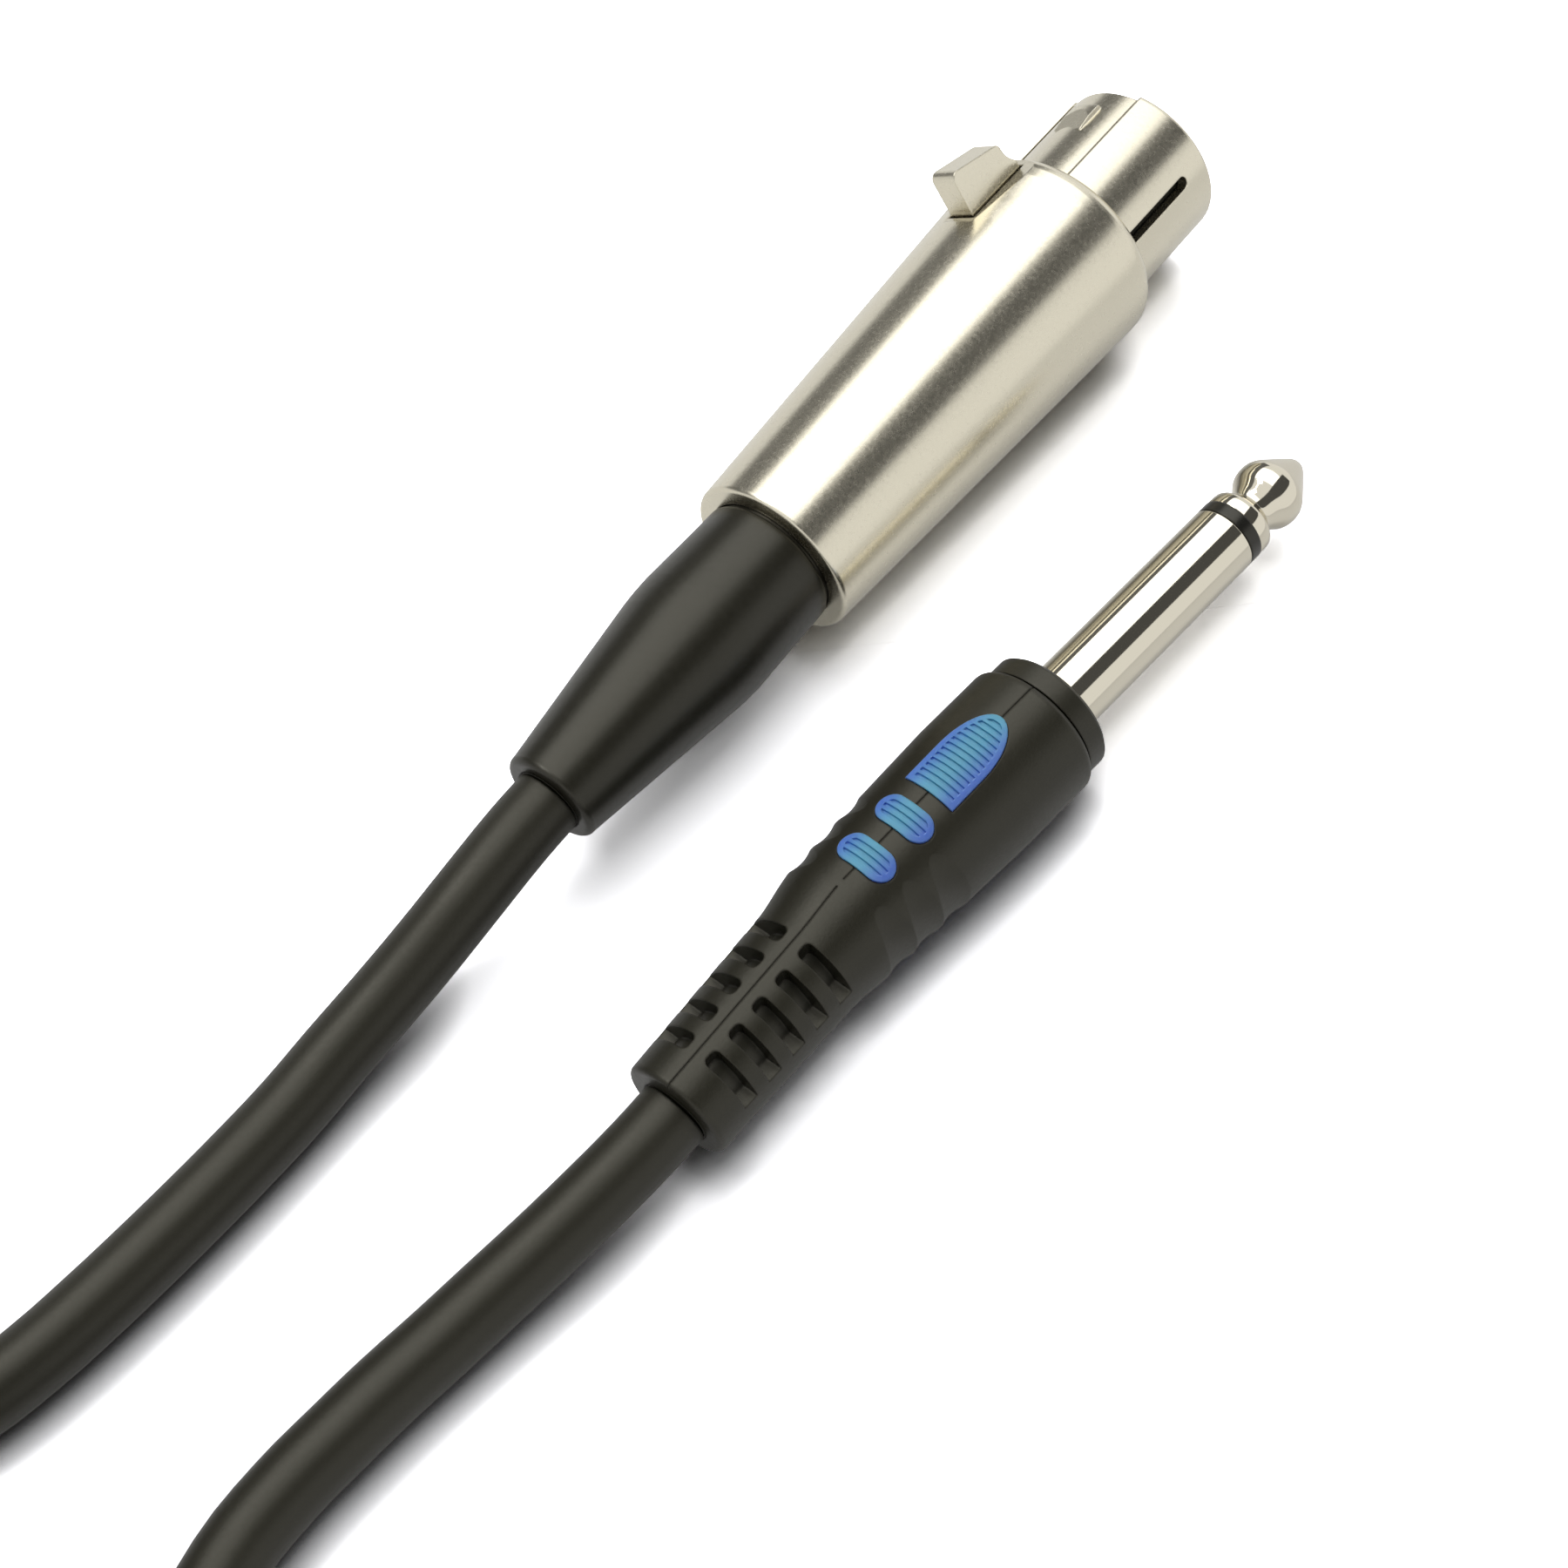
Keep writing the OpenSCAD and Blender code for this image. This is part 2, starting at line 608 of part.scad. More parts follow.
module xlr_boot() {
    outside = barrel_len + boot_step;
    wide = barrel_len + boot_straight;
    end_r = boot_end_d / 2;
    end_round = 0.6;
    taper = atan((boot_d / 2 - end_r) / (boot_end - wide));
    color("#222222") place_xlr() rotate_extrude($fn = round_fn) polygon(concat(
        [[cable_r + jacket_gap, -boot_flange_front], [boot_flange_r, -boot_flange_front],
            [boot_flange_r, lip_t - barrel_len], [boot_neck_r, lip_t - barrel_len], [boot_neck_r, -outside]],
        arc([boot_neck_r - 0.15, -outside - 0.4], 0.4, 90, 0, 4),
        arc([boot_d / 2 - boot_bend_r, -wide], boot_bend_r, 0, -taper, 4),
        arc([end_r - end_round, end_round - boot_end], end_round, 10, -90, 5),
        [[cable_r + jacket_gap, -boot_end]]));
}

module cable_end_xlr() {
    color("#2a2a2a") place_xlr() translate([0, 0, -boot_end])
        cylinder(r = cable_r, h = boot_end - jacket_front, $fn = small_fn);
}

// Where contact i's cup is soldered.
function cup(i, back) = [contact_r * cos(contact_angles[i]), contact_r * sin(contact_angles[i]), -back];

module wire_hot_xlr() {
    color("firebrick") place_xlr() wire_path([1.3, 0.9, -jacket_front], cup(1, flange_back + 1.2));
}

module wire_screen_xlr() {
    color("peru") place_xlr() wire_path([-1.3, 0.9, -jacket_front], cup(0, flange_back + 1.2));
}

module wire_link_xlr() {
    color("peru") place_xlr() wire_path([0, -1.5, -jacket_front], cup(2, flange_back + 1.2));
}

// A conductor swept from one point to another, square to Z at both ends.
module wire_path(from, to) {
    steps = 8;
    skin([for (i = [0 : steps]) let (t = i / steps, c = from + (to - from) * ease(t),
        z = from[2] + (to[2] - from[2]) * t) for (k = [0 : run_sides - 1])
            [c[0] + wire_r * cos(360 * k / run_sides), c[1] - wire_r * sin(360 * k / run_sides), z]], run_sides);
}

// Solid of the jack body's own outline, grown or shrunk by an amount.
module body_turned(grow) {
    rotate_extrude($fn = round_fn) polygon(concat(
        [[0, -body_start], [body_front_r - body_round, -body_start]],
        arc([body_front_r - body_round, -body_start - body_round], body_round + grow, 90, 0, 5),
        [[body_front_r + grow, -body_straight], [body_rear_r + grow, -body_end], [0, -body_end]]));
}

// Solid of the neck and the strain relief, before it is bent.
module relief_turned(grow) {
    rotate_extrude($fn = round_fn) polygon(concat(
        [[0, -body_end]],
        [for (i = [0 : 8]) [body_rear_r + grow + (relief_front_r - body_rear_r) * ease(i / 8),
            -body_end - neck_len * i / 8]],
        [[relief_rear_r + grow, -relief_end + 0.5]],
        arc([relief_rear_r + grow - 0.5, -relief_end + 0.5], 0.5, -15, -90, 5),
        [[0, -relief_end]]));
}

// One window of the strain relief in each quarter, with round ends beside the spines.
module relief_window(back) {
    intersection() {
        difference() {
            translate([0, 0, -back - window_w]) cylinder(r = body_front_r, h = 2 * window_w, $fn = small_fn);
            translate([0, 0, -back - 1.5 * window_w]) cylinder(r = cable_r + 0.5, h = 3 * window_w, $fn = small_fn);
        }
        for (side = [-1, 1]) over_outline(side) {
            translate([0, -back]) rounded([spine_w / 2, -window_w / 2], [big, window_w / 2], window_round);
            translate([0, -back]) rounded([-big, -window_w / 2], [-spine_w / 2, window_w / 2], window_round);
        }
        for (s = [0, 1]) mirror([0, s, 0]) block([-big, side_spine_w / 2, -big], [big, big, 0]);
    }
}

// A fine groove where the two halves of the mould met.
module parting_line(length) {
    block([-parting_w / 2, -big, -length], [parting_w / 2, big, 1]);
}

// Outlines of the inlays, drawn in (X, Z) behind the collar's face.
module bullet_outline(inset = 0) {
    w = bullet_w / 2 - inset;
    nose = bullet_len * 0.55;
    polygon(concat([[-w, inset - bullet_back - bullet_len], [w, inset - bullet_back - bullet_len]],
        [for (i = [0 : 20]) [w * cos(9 * i), (nose - inset) * sin(9 * i) - bullet_back - nose]]));
}

module pill_outline(back, inset = 0) {
    r = pill_len / 2 - inset;
    straight = (pill_w - pill_len) / 2;
    translate([0, -back]) union() {
        square([2 * straight, 2 * r], center = true);
        for (s = [-1, 1]) translate([s * straight, 0]) circle(r = r, $fn = small_fn);
    }
}

// Bars across an inlay, from one distance behind the collar's face to another.
module rib_bars(from, to) {
    count = round((to - from) / rib_pitch);
    start = (from + to - (count - 1) * rib_pitch) / 2;
    for (i = [0 : count - 1]) translate([0, -start - i * rib_pitch])
        square([bullet_w * 2, rib_pitch / 2], center = true);
}

// Turns a flat outline into a block that stands over it along +Y, on one side of the body.
module over_outline(side) {
    mirror([0, side > 0 ? 0 : 1, 0]) rotate([90, 0, 0]) mirror([0, 0, 1])
        linear_extrude(big) children();
}

// The layer of the body that an outline's inlay fills.
module inlay(side, proud) {
    intersection() {
        difference() {
            body_turned(proud);
            translate([0, 0, 1]) body_turned(-inlay_depth);
            translate([0, 0, -1]) body_turned(-inlay_depth);
        }
        over_outline(side) children();
    }
}

module jack_body() {
    color("#222222") place_jack() difference() {
        union() {
            body_turned(0);
            translate([0, 0, -body_end]) sphere(r = body_rear_r + bend_bead, $fn = round_fn);
            bent() relief_turned(0);
        }
        // Cavity round the contacts, and the cable's bore.
        translate([0, 0, -core_end]) cylinder(r = core_r, h = core_end, $fn = small_fn);
        translate([0, 0, -body_end]) cylinder(r = cable_r + jacket_gap, h = body_end, $fn = small_fn);
        translate([0, 0, -body_end]) sphere(r = cable_r + jacket_gap + bend_bead, $fn = small_fn);
        bent() translate([0, 0, -relief_end - 1])
            cylinder(r = cable_r + jacket_gap, h = relief_end - body_end + 1, $fn = small_fn);
        bent() for (i = [0 : window_count - 1]) relief_window(neck_end + window_pitch * i + window_w / 2);
        for (side = [-1, 1]) {
            inlay_space(side) bullet_outline();
            for (back = pill_backs) inlay_space(side) pill_outline(back);
        }
        // Finger scoops on both flanks. Their axis is set off, so they fade out at their ends.
        for (back = scoop_backs) for (a = [0, 180]) rotate([0, 0, a]) translate([-scoop_shift, 0, -back])
            rotate([0, 0, -scoop_span]) rotate_extrude(angle = 2 * scoop_span, $fn = round_fn)
                translate([body_r(back) - scoop_depth + scoop_shift + scoop_r, 0]) circle(r = scoop_r, $fn = small_fn);
        difference() {
            parting_line(body_end - 0.3);
            body_turned(-parting_depth);
        }
        bent() difference() {
            parting_line(relief_end + 1);
            translate([0, 0, -body_end - 0.3]) cylinder(r = big, h = big, $fn = small_fn);
            relief_turned(-parting_depth);
        }
    }
}

// The pocket of an inlay: the same outline, down to the inlay's depth.
module inlay_space(side) {
    difference() {
        over_outline(side) children();
        body_turned(-inlay_depth);
    }
}

module inlay_bullet(side) {
    color("#5aa9d6") place_jack() difference() {
        inlay(side, inlay_proud) bullet_outline();
        furrows(side) intersection() {
            bullet_outline(inlay_border);
            rib_bars(bullet_back + inlay_border, bullet_back + bullet_len - inlay_border);
        }
    }
}

module inlay_pill(side, back) {
    color("#5aa9d6") place_jack() difference() {
        inlay(side, inlay_proud) pill_outline(back);
        furrows(side) intersection() {
            pill_outline(back, inlay_border);
            rib_bars(back - pill_len / 2 + inlay_border, back + pill_len / 2 - inlay_border);
        }
    }
}

// The furrows between an inlay's ribs, cut to their depth below the inlay's surface.
module furrows(side) {
    difference() {
        over_outline(side) children();
        body_turned(inlay_proud - rib_depth);
    }
}

module inlay_bullet_top() { inlay_bullet(1); }
module inlay_pill_front_top() { inlay_pill(1, pill_backs[0]); }
module inlay_pill_rear_top() { inlay_pill(1, pill_backs[1]); }
module inlay_bullet_under() { inlay_bullet(-1); }
module inlay_pill_front_under() { inlay_pill(-1, pill_backs[0]); }
module inlay_pill_rear_under() { inlay_pill(-1, pill_backs[1]); }

module jack_collar() {
    color("#222222") place_jack() rotate_extrude($fn = round_fn) polygon([[shank_r + running_gap, 0],
        [collar_r - 0.35, 0], [collar_r, -0.35], [collar_r, -collar_t], [shank_r + running_gap, -collar_t]]);
}

module jack_sleeve() {
    color("silver") place_jack() rotate_extrude($fn = round_fn) polygon([[sleeve_bore_r, sleeve_len],
        [sleeve_r - 0.15, sleeve_len], [sleeve_r, sleeve_len - 0.15], [sleeve_r, root_gap],
        [shank_r, root_gap], [shank_r, -collar_t],
        [sleeve_flange_r, -collar_t], [sleeve_flange_r, -collar_t - sleeve_flange_t],
        [shank_r, -collar_t - sleeve_flange_t], [shank_r, -sleeve_back], [sleeve_bore_r, -sleeve_back]]);
}

module tip_insulator() {
    bore = rod_r + running_gap;
    tube_r = sleeve_bore_r - running_gap;
    color("#222222") place_jack() rotate_extrude($fn = round_fn) polygon([[bore, ring_end],
        [sleeve_r - 0.02, ring_end], [sleeve_r - 0.02, sleeve_len], [tube_r, sleeve_len],
        [tube_r, -sleeve_back], [insulator_flange_r, -sleeve_back],
        [insulator_flange_r, -insulator_back], [bore, -insulator_back]]);
}

module jack_tip() {
    base_r = sleeve_r - 0.05;
    neck_r = 1.75;
    end_r = 0.95;
    ball_round = 0.9;
    ball_at = ring_end + 0.64 * tip_len;
    back_slope = 29;
    front_slope = 36;
    ball = [base_r - ball_round, ball_at];
    neck_at = ball_at - 2.75;
    color("silver") place_jack() rotate_extrude($fn = round_fn) polygon(concat(
        [[0, -rod_back], [rod_r, -rod_back], [rod_r, ring_end], [base_r, ring_end],
            [base_r, ring_end + tip_base - tip_edge], [base_r - tip_edge, ring_end + tip_base]],
        // Neck, then the long slope of the ball's back, its round rim and its front.
        arc([neck_r + 0.6, neck_at - 0.35], 0.6, 240, 180, 4),
        arc([neck_r + 0.8, neck_at + 0.1], 0.8, 180, 180 - back_slope, 4),
        arc(ball, ball_round, -back_slope, 90 - front_slope, 7),
        arc([0, tip_end - end_r], end_r, 90 - front_slope, 90, 5)));
}

module tip_lug() {
    back = insulator_back;
    color("gold") place_jack() difference() {
        union() {
            translate([0, 0, -back - lug_t]) cylinder(r = 2.1, h = lug_t, $fn = small_fn);
            block([-lug_w / 2, tip_lug_y, -back - 5], [lug_w / 2, tip_lug_y + lug_t, -back]);
        }
        translate([0, 0, -back - 1]) cylinder(r = rod_r + running_gap, h = 2, $fn = small_fn);
        translate([0, 0, -back - 3.8]) rotate([-90, 0, 0]) cylinder(r = 0.6, h = 5, $fn = small_fn);
    }
}

module sleeve_lug() {
    front = collar_t + sleeve_flange_t;
    crimp = jack_jacket_front;
    crimp_len = 3;
    color("gold") place_jack() {
        difference() {
            translate([0, 0, -front - lug_t]) cylinder(r = sleeve_flange_r, h = lug_t, $fn = small_fn);
            translate([0, 0, -front - 1]) cylinder(r = shank_r + running_gap, h = 2, $fn = small_fn);
        }
        block([-lug_w / 2, -sleeve_flange_r + 0.1, -crimp - crimp_len], [lug_w / 2, -sleeve_flange_r + 0.1 + lug_t, -front]);
        // Band crimped round the jacket.
        difference() {
            translate([0, 0, -crimp - crimp_len]) cylinder(r = sleeve_flange_r, h = crimp_len, $fn = small_fn);
            translate([0, 0, -crimp - crimp_len - 1]) cylinder(r = cable_r + jacket_gap, h = crimp_len + 2, $fn = small_fn);
            block([-1, 0, -crimp - crimp_len - 1], [1, 9, -crimp + 1]);
        }
    }
}

module cable_end_jack() {
    color("#2a2a2a") place_jack() {
        translate([0, 0, -body_end]) cylinder(r = cable_r, h = body_end - jack_jacket_front, $fn = small_fn);
        translate([0, 0, -body_end]) sphere(r = cable_r + bend_bead, $fn = small_fn);
        bent() translate([0, 0, -relief_end]) cylinder(r = cable_r, h = relief_end - body_end, $fn = small_fn);
    }
}

module wire_hot_jack() {
    under_lug = tip_lug_y - wire_r - 0.1;
    color("firebrick") place_jack() wire_path([0.9, under_lug, -jack_jacket_front],
        [0.2, under_lug, -rod_back - 0.8]);
}

module wire_screen_jack() {
    color("peru") place_jack() wire_path([-0.6, -1.4, -jack_jacket_front],
        [-0.6, -sleeve_flange_r + 0.1 + lug_t + wire_r, -insulator_back - 1]);
}

// The hank's centre line. It starts at the outside of the lowest layer, at the top of the
// left run, spirals in and out again, climbs a layer in the half turn where the spiral
// reverses, and ends at the outside of the top layer, at the top of the right run.
function coil_point(i) = let (
    leg = coil_rings * coil_turns / coil_layers,
    which = floor(i / leg),
    part = i / leg - which,
    r = coil_outer_r - (which % 2 == 0 ? part : 1 - part) * (coil_outer_r - coil_inner_r),
    near = round(i / leg),
    climb = near < 1 ? 0 : near > coil_layers - 1 ? coil_layers - 1
        : near - 1 + ease(min(1, max(0, 2 * (i - near * leg) / coil_rings + 0.5))),
    half = coil_straight / 2,
    step = i % coil_rings,
    back = step >= run_rings + fold_rings,
    s = back ? step - run_rings - fold_rings : step,
    side = back ? 1 : -1,
    y = -half + coil_straight * s / run_rings,
    turn = 180 * (s - run_rings) / fold_rings,
    at = s < run_rings ? [r - coil_waist * (1 + cos(180 * y / half)) / 2, y]
        : [r * cos(turn), half + r * sin(turn)])
    [coil_x + side * at[0], coil_y + side * at[1], coil_lift + cable_r + coil_pitch * climb];

COIL = [for (i = [0 : coil_rings * coil_turns]) coil_point(i)];
COIL_PATH = concat([COIL[0] + [0, cable_d, 0]], COIL, [COIL[len(COIL) - 1] + [0, cable_d, 0]]);

// Least distance between the surfaces of loops that lie next to each other.
COIL_GAP = min([for (i = [0 : len(COIL) - 1]) for (k = [1 : coil_turns + 1]) for (d = [-12 : 12])
    let (j = i + k * coil_rings + d) if (j < len(COIL)) norm(COIL[i] - COIL[j])]) - cable_d;
COIL_LENGTH = sum_steps(COIL_PATH);
XLR_PATH = concat([XLR_START], XLR_RUN, [COIL_PATH[0]]);
JACK_PATH = concat([JACK_START], JACK_RUN, [COIL_PATH[len(COIL_PATH) - 1]]);
RUN_LENGTH = sum_steps(XLR_PATH) + sum_steps(JACK_PATH);
function total(v, i = 0) = i < len(v) ? v[i] + total(v, i + 1) : 0;
function sum_steps(p) = total([for (i = [1 : len(p) - 1]) norm(p[i] - p[i - 1])]);

module cord_xlr_run() {
    color("#2a2a2a") tube(XLR_PATH, cable_r, run_sides, [0, -1, 0], [0, -1, 0]);
}

module cord_coil() {
    echo(coil_gap = COIL_GAP, coil_length = COIL_LENGTH, run_length = RUN_LENGTH);
    color("#2a2a2a") tube(COIL_PATH, cable_r, coil_sides, [0, -1, 0], [0, 1, 0]);
}

module cord_jack_run() {
    color("#2a2a2a") tube(JACK_PATH, cable_r, run_sides, JACK_WAY, [0, -1, 0]);
}

// Distances from the hank's middle of the runs that pass through the tie.
TIED = [for (p = COIL) if (abs(p[1] - coil_y) < tie_w) abs(p[0] - coil_x)];

// Hook-and-loop tie round the hank's waist.
module coil_tie() {
    half = max(TIED) + cable_r + tie_gap;
    low = coil_lift - 0.1;
    high = coil_lift + cable_d + coil_pitch * (coil_layers - 1) + 0.2;
    color("#303030") translate([coil_x, coil_y + tie_w / 2, 0]) rotate([90, 0, 0])
        linear_extrude(tie_w) difference() {
            rounded([-half - tie_t, low - tie_t], [half + tie_t, high + tie_t], tie_round + tie_t);
            rounded([-half, low], [half, high], tie_round);
        }
}

// A rectangle with rounded corners, given by two of them.
module rounded(low, high, r) {
    union() {
        for (x = [low[0] + r, high[0] - r]) for (y = [low[1] + r, high[1] - r])
            translate([x, y]) circle(r = r, $fn = small_fn);
        translate([low[0] + r, low[1]]) square([high[0] - low[0] - 2 * r, high[1] - low[1]]);
        translate([low[0], low[1] + r]) square([high[0] - low[0], high[1] - low[1] - 2 * r]);
    }
}

xlr_shell();
xlr_insert();
contact_1();
contact_2();
contact_3();
latch_lever();
latch_spring();
insert_screw();
cable_chuck();
xlr_boot();
cable_end_xlr();
wire_hot_xlr();
wire_screen_xlr();
wire_link_xlr();
jack_tip();
tip_insulator();
jack_sleeve();
jack_collar();
jack_body();
inlay_bullet_top();
inlay_pill_front_top();
inlay_pill_rear_top();
inlay_bullet_under();
inlay_pill_front_under();
inlay_pill_rear_under();
tip_lug();
sleeve_lug();
cable_end_jack();
wire_hot_jack();
wire_screen_jack();
cord_xlr_run();
cord_coil();
cord_jack_run();
coil_tie();
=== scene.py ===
# %% [markdown]
# # A microphone cable, dressed for the studio
# The object is a 3 m microphone cable: a latching XLR socket connector at one end, a
# moulded 6.35 mm jack plug at the other, and the spare length folded into a tied hank.
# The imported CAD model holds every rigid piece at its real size. This lesson adds the
# flexible cable, the fabric tie, a finish for every surface, and the studio.

# %% Load the frame
import math

import bmesh
import bpy
from mathutils import Matrix, Vector


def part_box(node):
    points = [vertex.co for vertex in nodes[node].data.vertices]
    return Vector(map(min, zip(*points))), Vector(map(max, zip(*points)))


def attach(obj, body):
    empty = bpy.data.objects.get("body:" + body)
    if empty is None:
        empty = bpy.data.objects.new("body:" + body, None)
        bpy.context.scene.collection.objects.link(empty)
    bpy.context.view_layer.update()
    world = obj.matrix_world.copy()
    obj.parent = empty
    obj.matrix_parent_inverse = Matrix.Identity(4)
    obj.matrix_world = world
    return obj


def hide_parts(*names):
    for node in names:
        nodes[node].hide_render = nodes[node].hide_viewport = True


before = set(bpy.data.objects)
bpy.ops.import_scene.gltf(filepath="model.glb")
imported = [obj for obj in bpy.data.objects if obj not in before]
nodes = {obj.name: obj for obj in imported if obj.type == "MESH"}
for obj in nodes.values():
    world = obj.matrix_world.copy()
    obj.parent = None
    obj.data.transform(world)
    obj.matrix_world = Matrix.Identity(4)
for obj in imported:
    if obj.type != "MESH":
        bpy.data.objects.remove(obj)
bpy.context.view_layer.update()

MM = 0.001

# %% [markdown]
# ## Objects and meshes
# Everything below ends up as an object in the scene. One function makes an object round
# its data. Another turns a finished bmesh into such an object.

# %% Objects and meshes
def add_object(name, data):
    """An object in the scene that holds this data."""
    made = bpy.data.objects.new(name, data)
    bpy.context.scene.collection.objects.link(made)
    return made


def add_mesh(name, mesh, smooth=False):
    """An object made from a bmesh, which is then freed."""
    data = bpy.data.meshes.new(name)
    mesh.to_mesh(data)
    mesh.free()
    if smooth:
        data.polygons.foreach_set("use_smooth", [True] * len(data.polygons))
    return add_object(name, data)


# %% [markdown]
# ## Camera
# A product photographer looks down on small parts with a long lens, so that both
# connectors stay nearly true in shape. The camera stands above and to the right of the
# cable's foreground, and looks down at 62 degrees. A focal length given in pixels turns
# into millimetres through the width of the sensor.

# %% Camera
IMAGE_WIDTH = 1800
FOCAL_PIXELS = 3080
SENSOR_WIDTH = 36
CLIP_START = 0.01
camera_spot = Vector((64.71, -102.26, 199.81)) * MM
aim_spot = Vector((-0.48, -18.37, 0)) * MM

camera_data = bpy.data.cameras.new("camera")
camera_data.sensor_width = SENSOR_WIDTH
camera_data.lens = SENSOR_WIDTH * FOCAL_PIXELS / IMAGE_WIDTH
camera_data.clip_start = CLIP_START
camera = add_object("camera", camera_data)
camera.location = camera_spot
camera.rotation_euler = (aim_spot - camera_spot).to_track_quat("-Z", "Y").to_euler()
bpy.context.scene.camera = camera
bpy.context.scene.view_settings.view_transform = "Standard"
print("lens", round(camera_data.lens, 1), "mm")

# %% [markdown]
# ## The cable's route
# A cable is one flexible tube of fixed length. It leaves the XLR boot, drops to the
# table, runs to the hank, goes round it ten and two thirds times in four layers, and
# comes back down to the jack. The points of the two free runs are listed one by one, and
# the loops come from a rule: each loop has two straight runs between two round folds,
# each layer spirals in or out at a steady rate, and the climb to the next layer takes
# half a turn.

# %% Route points, in millimetres
XLR_END = (-11.28, -35.17, 9.75)
XLR_RUN = [
    (-11.3, -38.8, 9.5), (-11.3, -44.8, 8.4), (-11.6, -50, 6.6), (-12, -55.3, 4.9),
    (-12.3, -60.6, 3.7), (-12.3, -65.8, 3.1), (-12.4, -71.1, 3), (-12.6, -76.3, 3),
    (-12.9, -81.5, 3), (-13.3, -86.6, 3), (-13.9, -92, 3), (-15.1, -98, 3),
    (-17.8, -104.8, 3), (-22, -111.5, 3), (-27.4, -118.8, 3), (-32.2, -126.6, 3.4),
]
JACK_END = (12.412, -48.604, 6.126)
JACK_RUN = [
    (12.2, -52.3, 5.8), (11.5, -57.6, 4.8), (10.7, -62.8, 3.9), (9.9, -67.8, 3.3),
    (9.2, -72.8, 3), (8.5, -77.8, 3), (8, -82.8, 3), (7.6, -88, 3), (7.9, -94.3, 3.2),
    (10.1, -101, 4.5), (14.3, -106.9, 7.1), (20.2, -111.4, 10.6), (26.8, -115.6, 14.6),
    (32.1, -121.2, 18.5), (34.8, -127.5, 21.5), (35.4, -133.3, 23.1),
]
CABLE_D = 6
HANK_X, HANK_Y = 0, -163.7
HANK_INNER_R = 18
HANK_PITCH = 6.6
HANK_LOOPS = 10
HANK_LAYERS = 4
HANK_STRAIGHT = 39.4
HANK_WAIST = 2
HANK_LIFT = 1.2
RUN_RINGS, FOLD_RINGS = 4, 8
LOOP_RINGS = 2 * (RUN_RINGS + FOLD_RINGS)
HANK_RINGS = HANK_LOOPS * LOOP_RINGS + 2 * RUN_RINGS + FOLD_RINGS
HANK_OUTER_R = HANK_INNER_R + HANK_PITCH * HANK_RINGS / LOOP_RINGS / HANK_LAYERS


def ease(t):
    """A smooth step from 0 to 1."""
    return t * t * (3 - 2 * t)


def hank_point(ring):
    """The cable's centre after so many rings of the hank."""
    rings_a_layer = HANK_RINGS / HANK_LAYERS
    layer = math.floor(ring / rings_a_layer)
    part = ring / rings_a_layer - layer
    inward = layer % 2 == 0
    radius = HANK_OUTER_R - (part if inward else 1 - part) * (HANK_OUTER_R - HANK_INNER_R)
    near = math.floor(ring / rings_a_layer + 0.5)
    if near < 1:
        climb = 0
    elif near > HANK_LAYERS - 1:
        climb = HANK_LAYERS - 1
    else:
        past = 2 * (ring - near * rings_a_layer) / LOOP_RINGS
        climb = near - 1 + ease(min(1, max(0, past + 0.5)))
    half = HANK_STRAIGHT / 2
    step = ring % LOOP_RINGS
    side = 1 if step >= LOOP_RINGS / 2 else -1
    step = step % (LOOP_RINGS // 2)
    if step < RUN_RINGS:
        y = -half + HANK_STRAIGHT * step / RUN_RINGS
        x = radius - HANK_WAIST * (1 + math.cos(math.pi * y / half)) / 2
    else:
        turn = math.pi * (step - RUN_RINGS) / FOLD_RINGS
        x, y = radius * math.cos(turn), half + radius * math.sin(turn)
    height = HANK_LIFT + CABLE_D / 2 + HANK_PITCH * climb
    return (HANK_X + side * x, HANK_Y + side * y, height)


hank = [hank_point(ring) for ring in range(HANK_RINGS + 1)]
hank_in = (hank[0][0], hank[0][1] + CABLE_D, hank[0][2])
hank_out = (hank[-1][0], hank[-1][1] + CABLE_D, hank[-1][2])
route = [XLR_END, *XLR_RUN, hank_in, *hank, hank_out, *reversed(JACK_RUN), JACK_END]
route = [Vector(p) * MM for p in route]

# %% [markdown]
# ## The cable
# The jacket is extruded PVC: perfectly round, the same all along. A mesh could be swept
# ring by ring, but a Bezier curve with a round bevel does the same from its centre line,
# and automatic handles carry it smoothly through every point of the route. The bevel's
# depth is one unit, and each point's radius scales it down to the cable's real radius,
# because Blender takes the radius of the points for the curve's outer box.

# %% Cable
BEVEL_STEPS = 9
STEPS_A_POINT = 3
cable_curve = bpy.data.curves.new("cable", "CURVE")
cable_curve.dimensions = "3D"
cable_curve.resolution_u = STEPS_A_POINT
cable_curve.bevel_depth = 1.0
cable_curve.bevel_resolution = BEVEL_STEPS
cable_curve.use_fill_caps = True
cable_spline = cable_curve.splines.new("BEZIER")
cable_spline.bezier_points.add(len(route) - 1)
for bend, spot in zip(cable_spline.bezier_points, route):
    bend.co = spot
    bend.radius = CABLE_D / 2 * MM
    bend.handle_left_type = "AUTO"
    bend.handle_right_type = "AUTO"
cable = add_object("cable", cable_curve)
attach(cable, "cable")
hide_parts("cord_xlr_run", "cord_coil", "cord_jack_run")
print("cable radius", CABLE_D / 2, "mm")

# %% [markdown]
# ## The tie
# Roadies keep a cable together with a strap of hook-and-loop tape. It wraps the waist of
# the hank once, and its tail sticks to the top. The strap is thin and flat, so its centre
# line is drawn first, as a rounded box round the bundle, then extruded to the strap's
# width and thickened. The size comes from the CAD solid that it stands for, and the tape
# is a tenth of a millimetre thinner than that solid's wall.

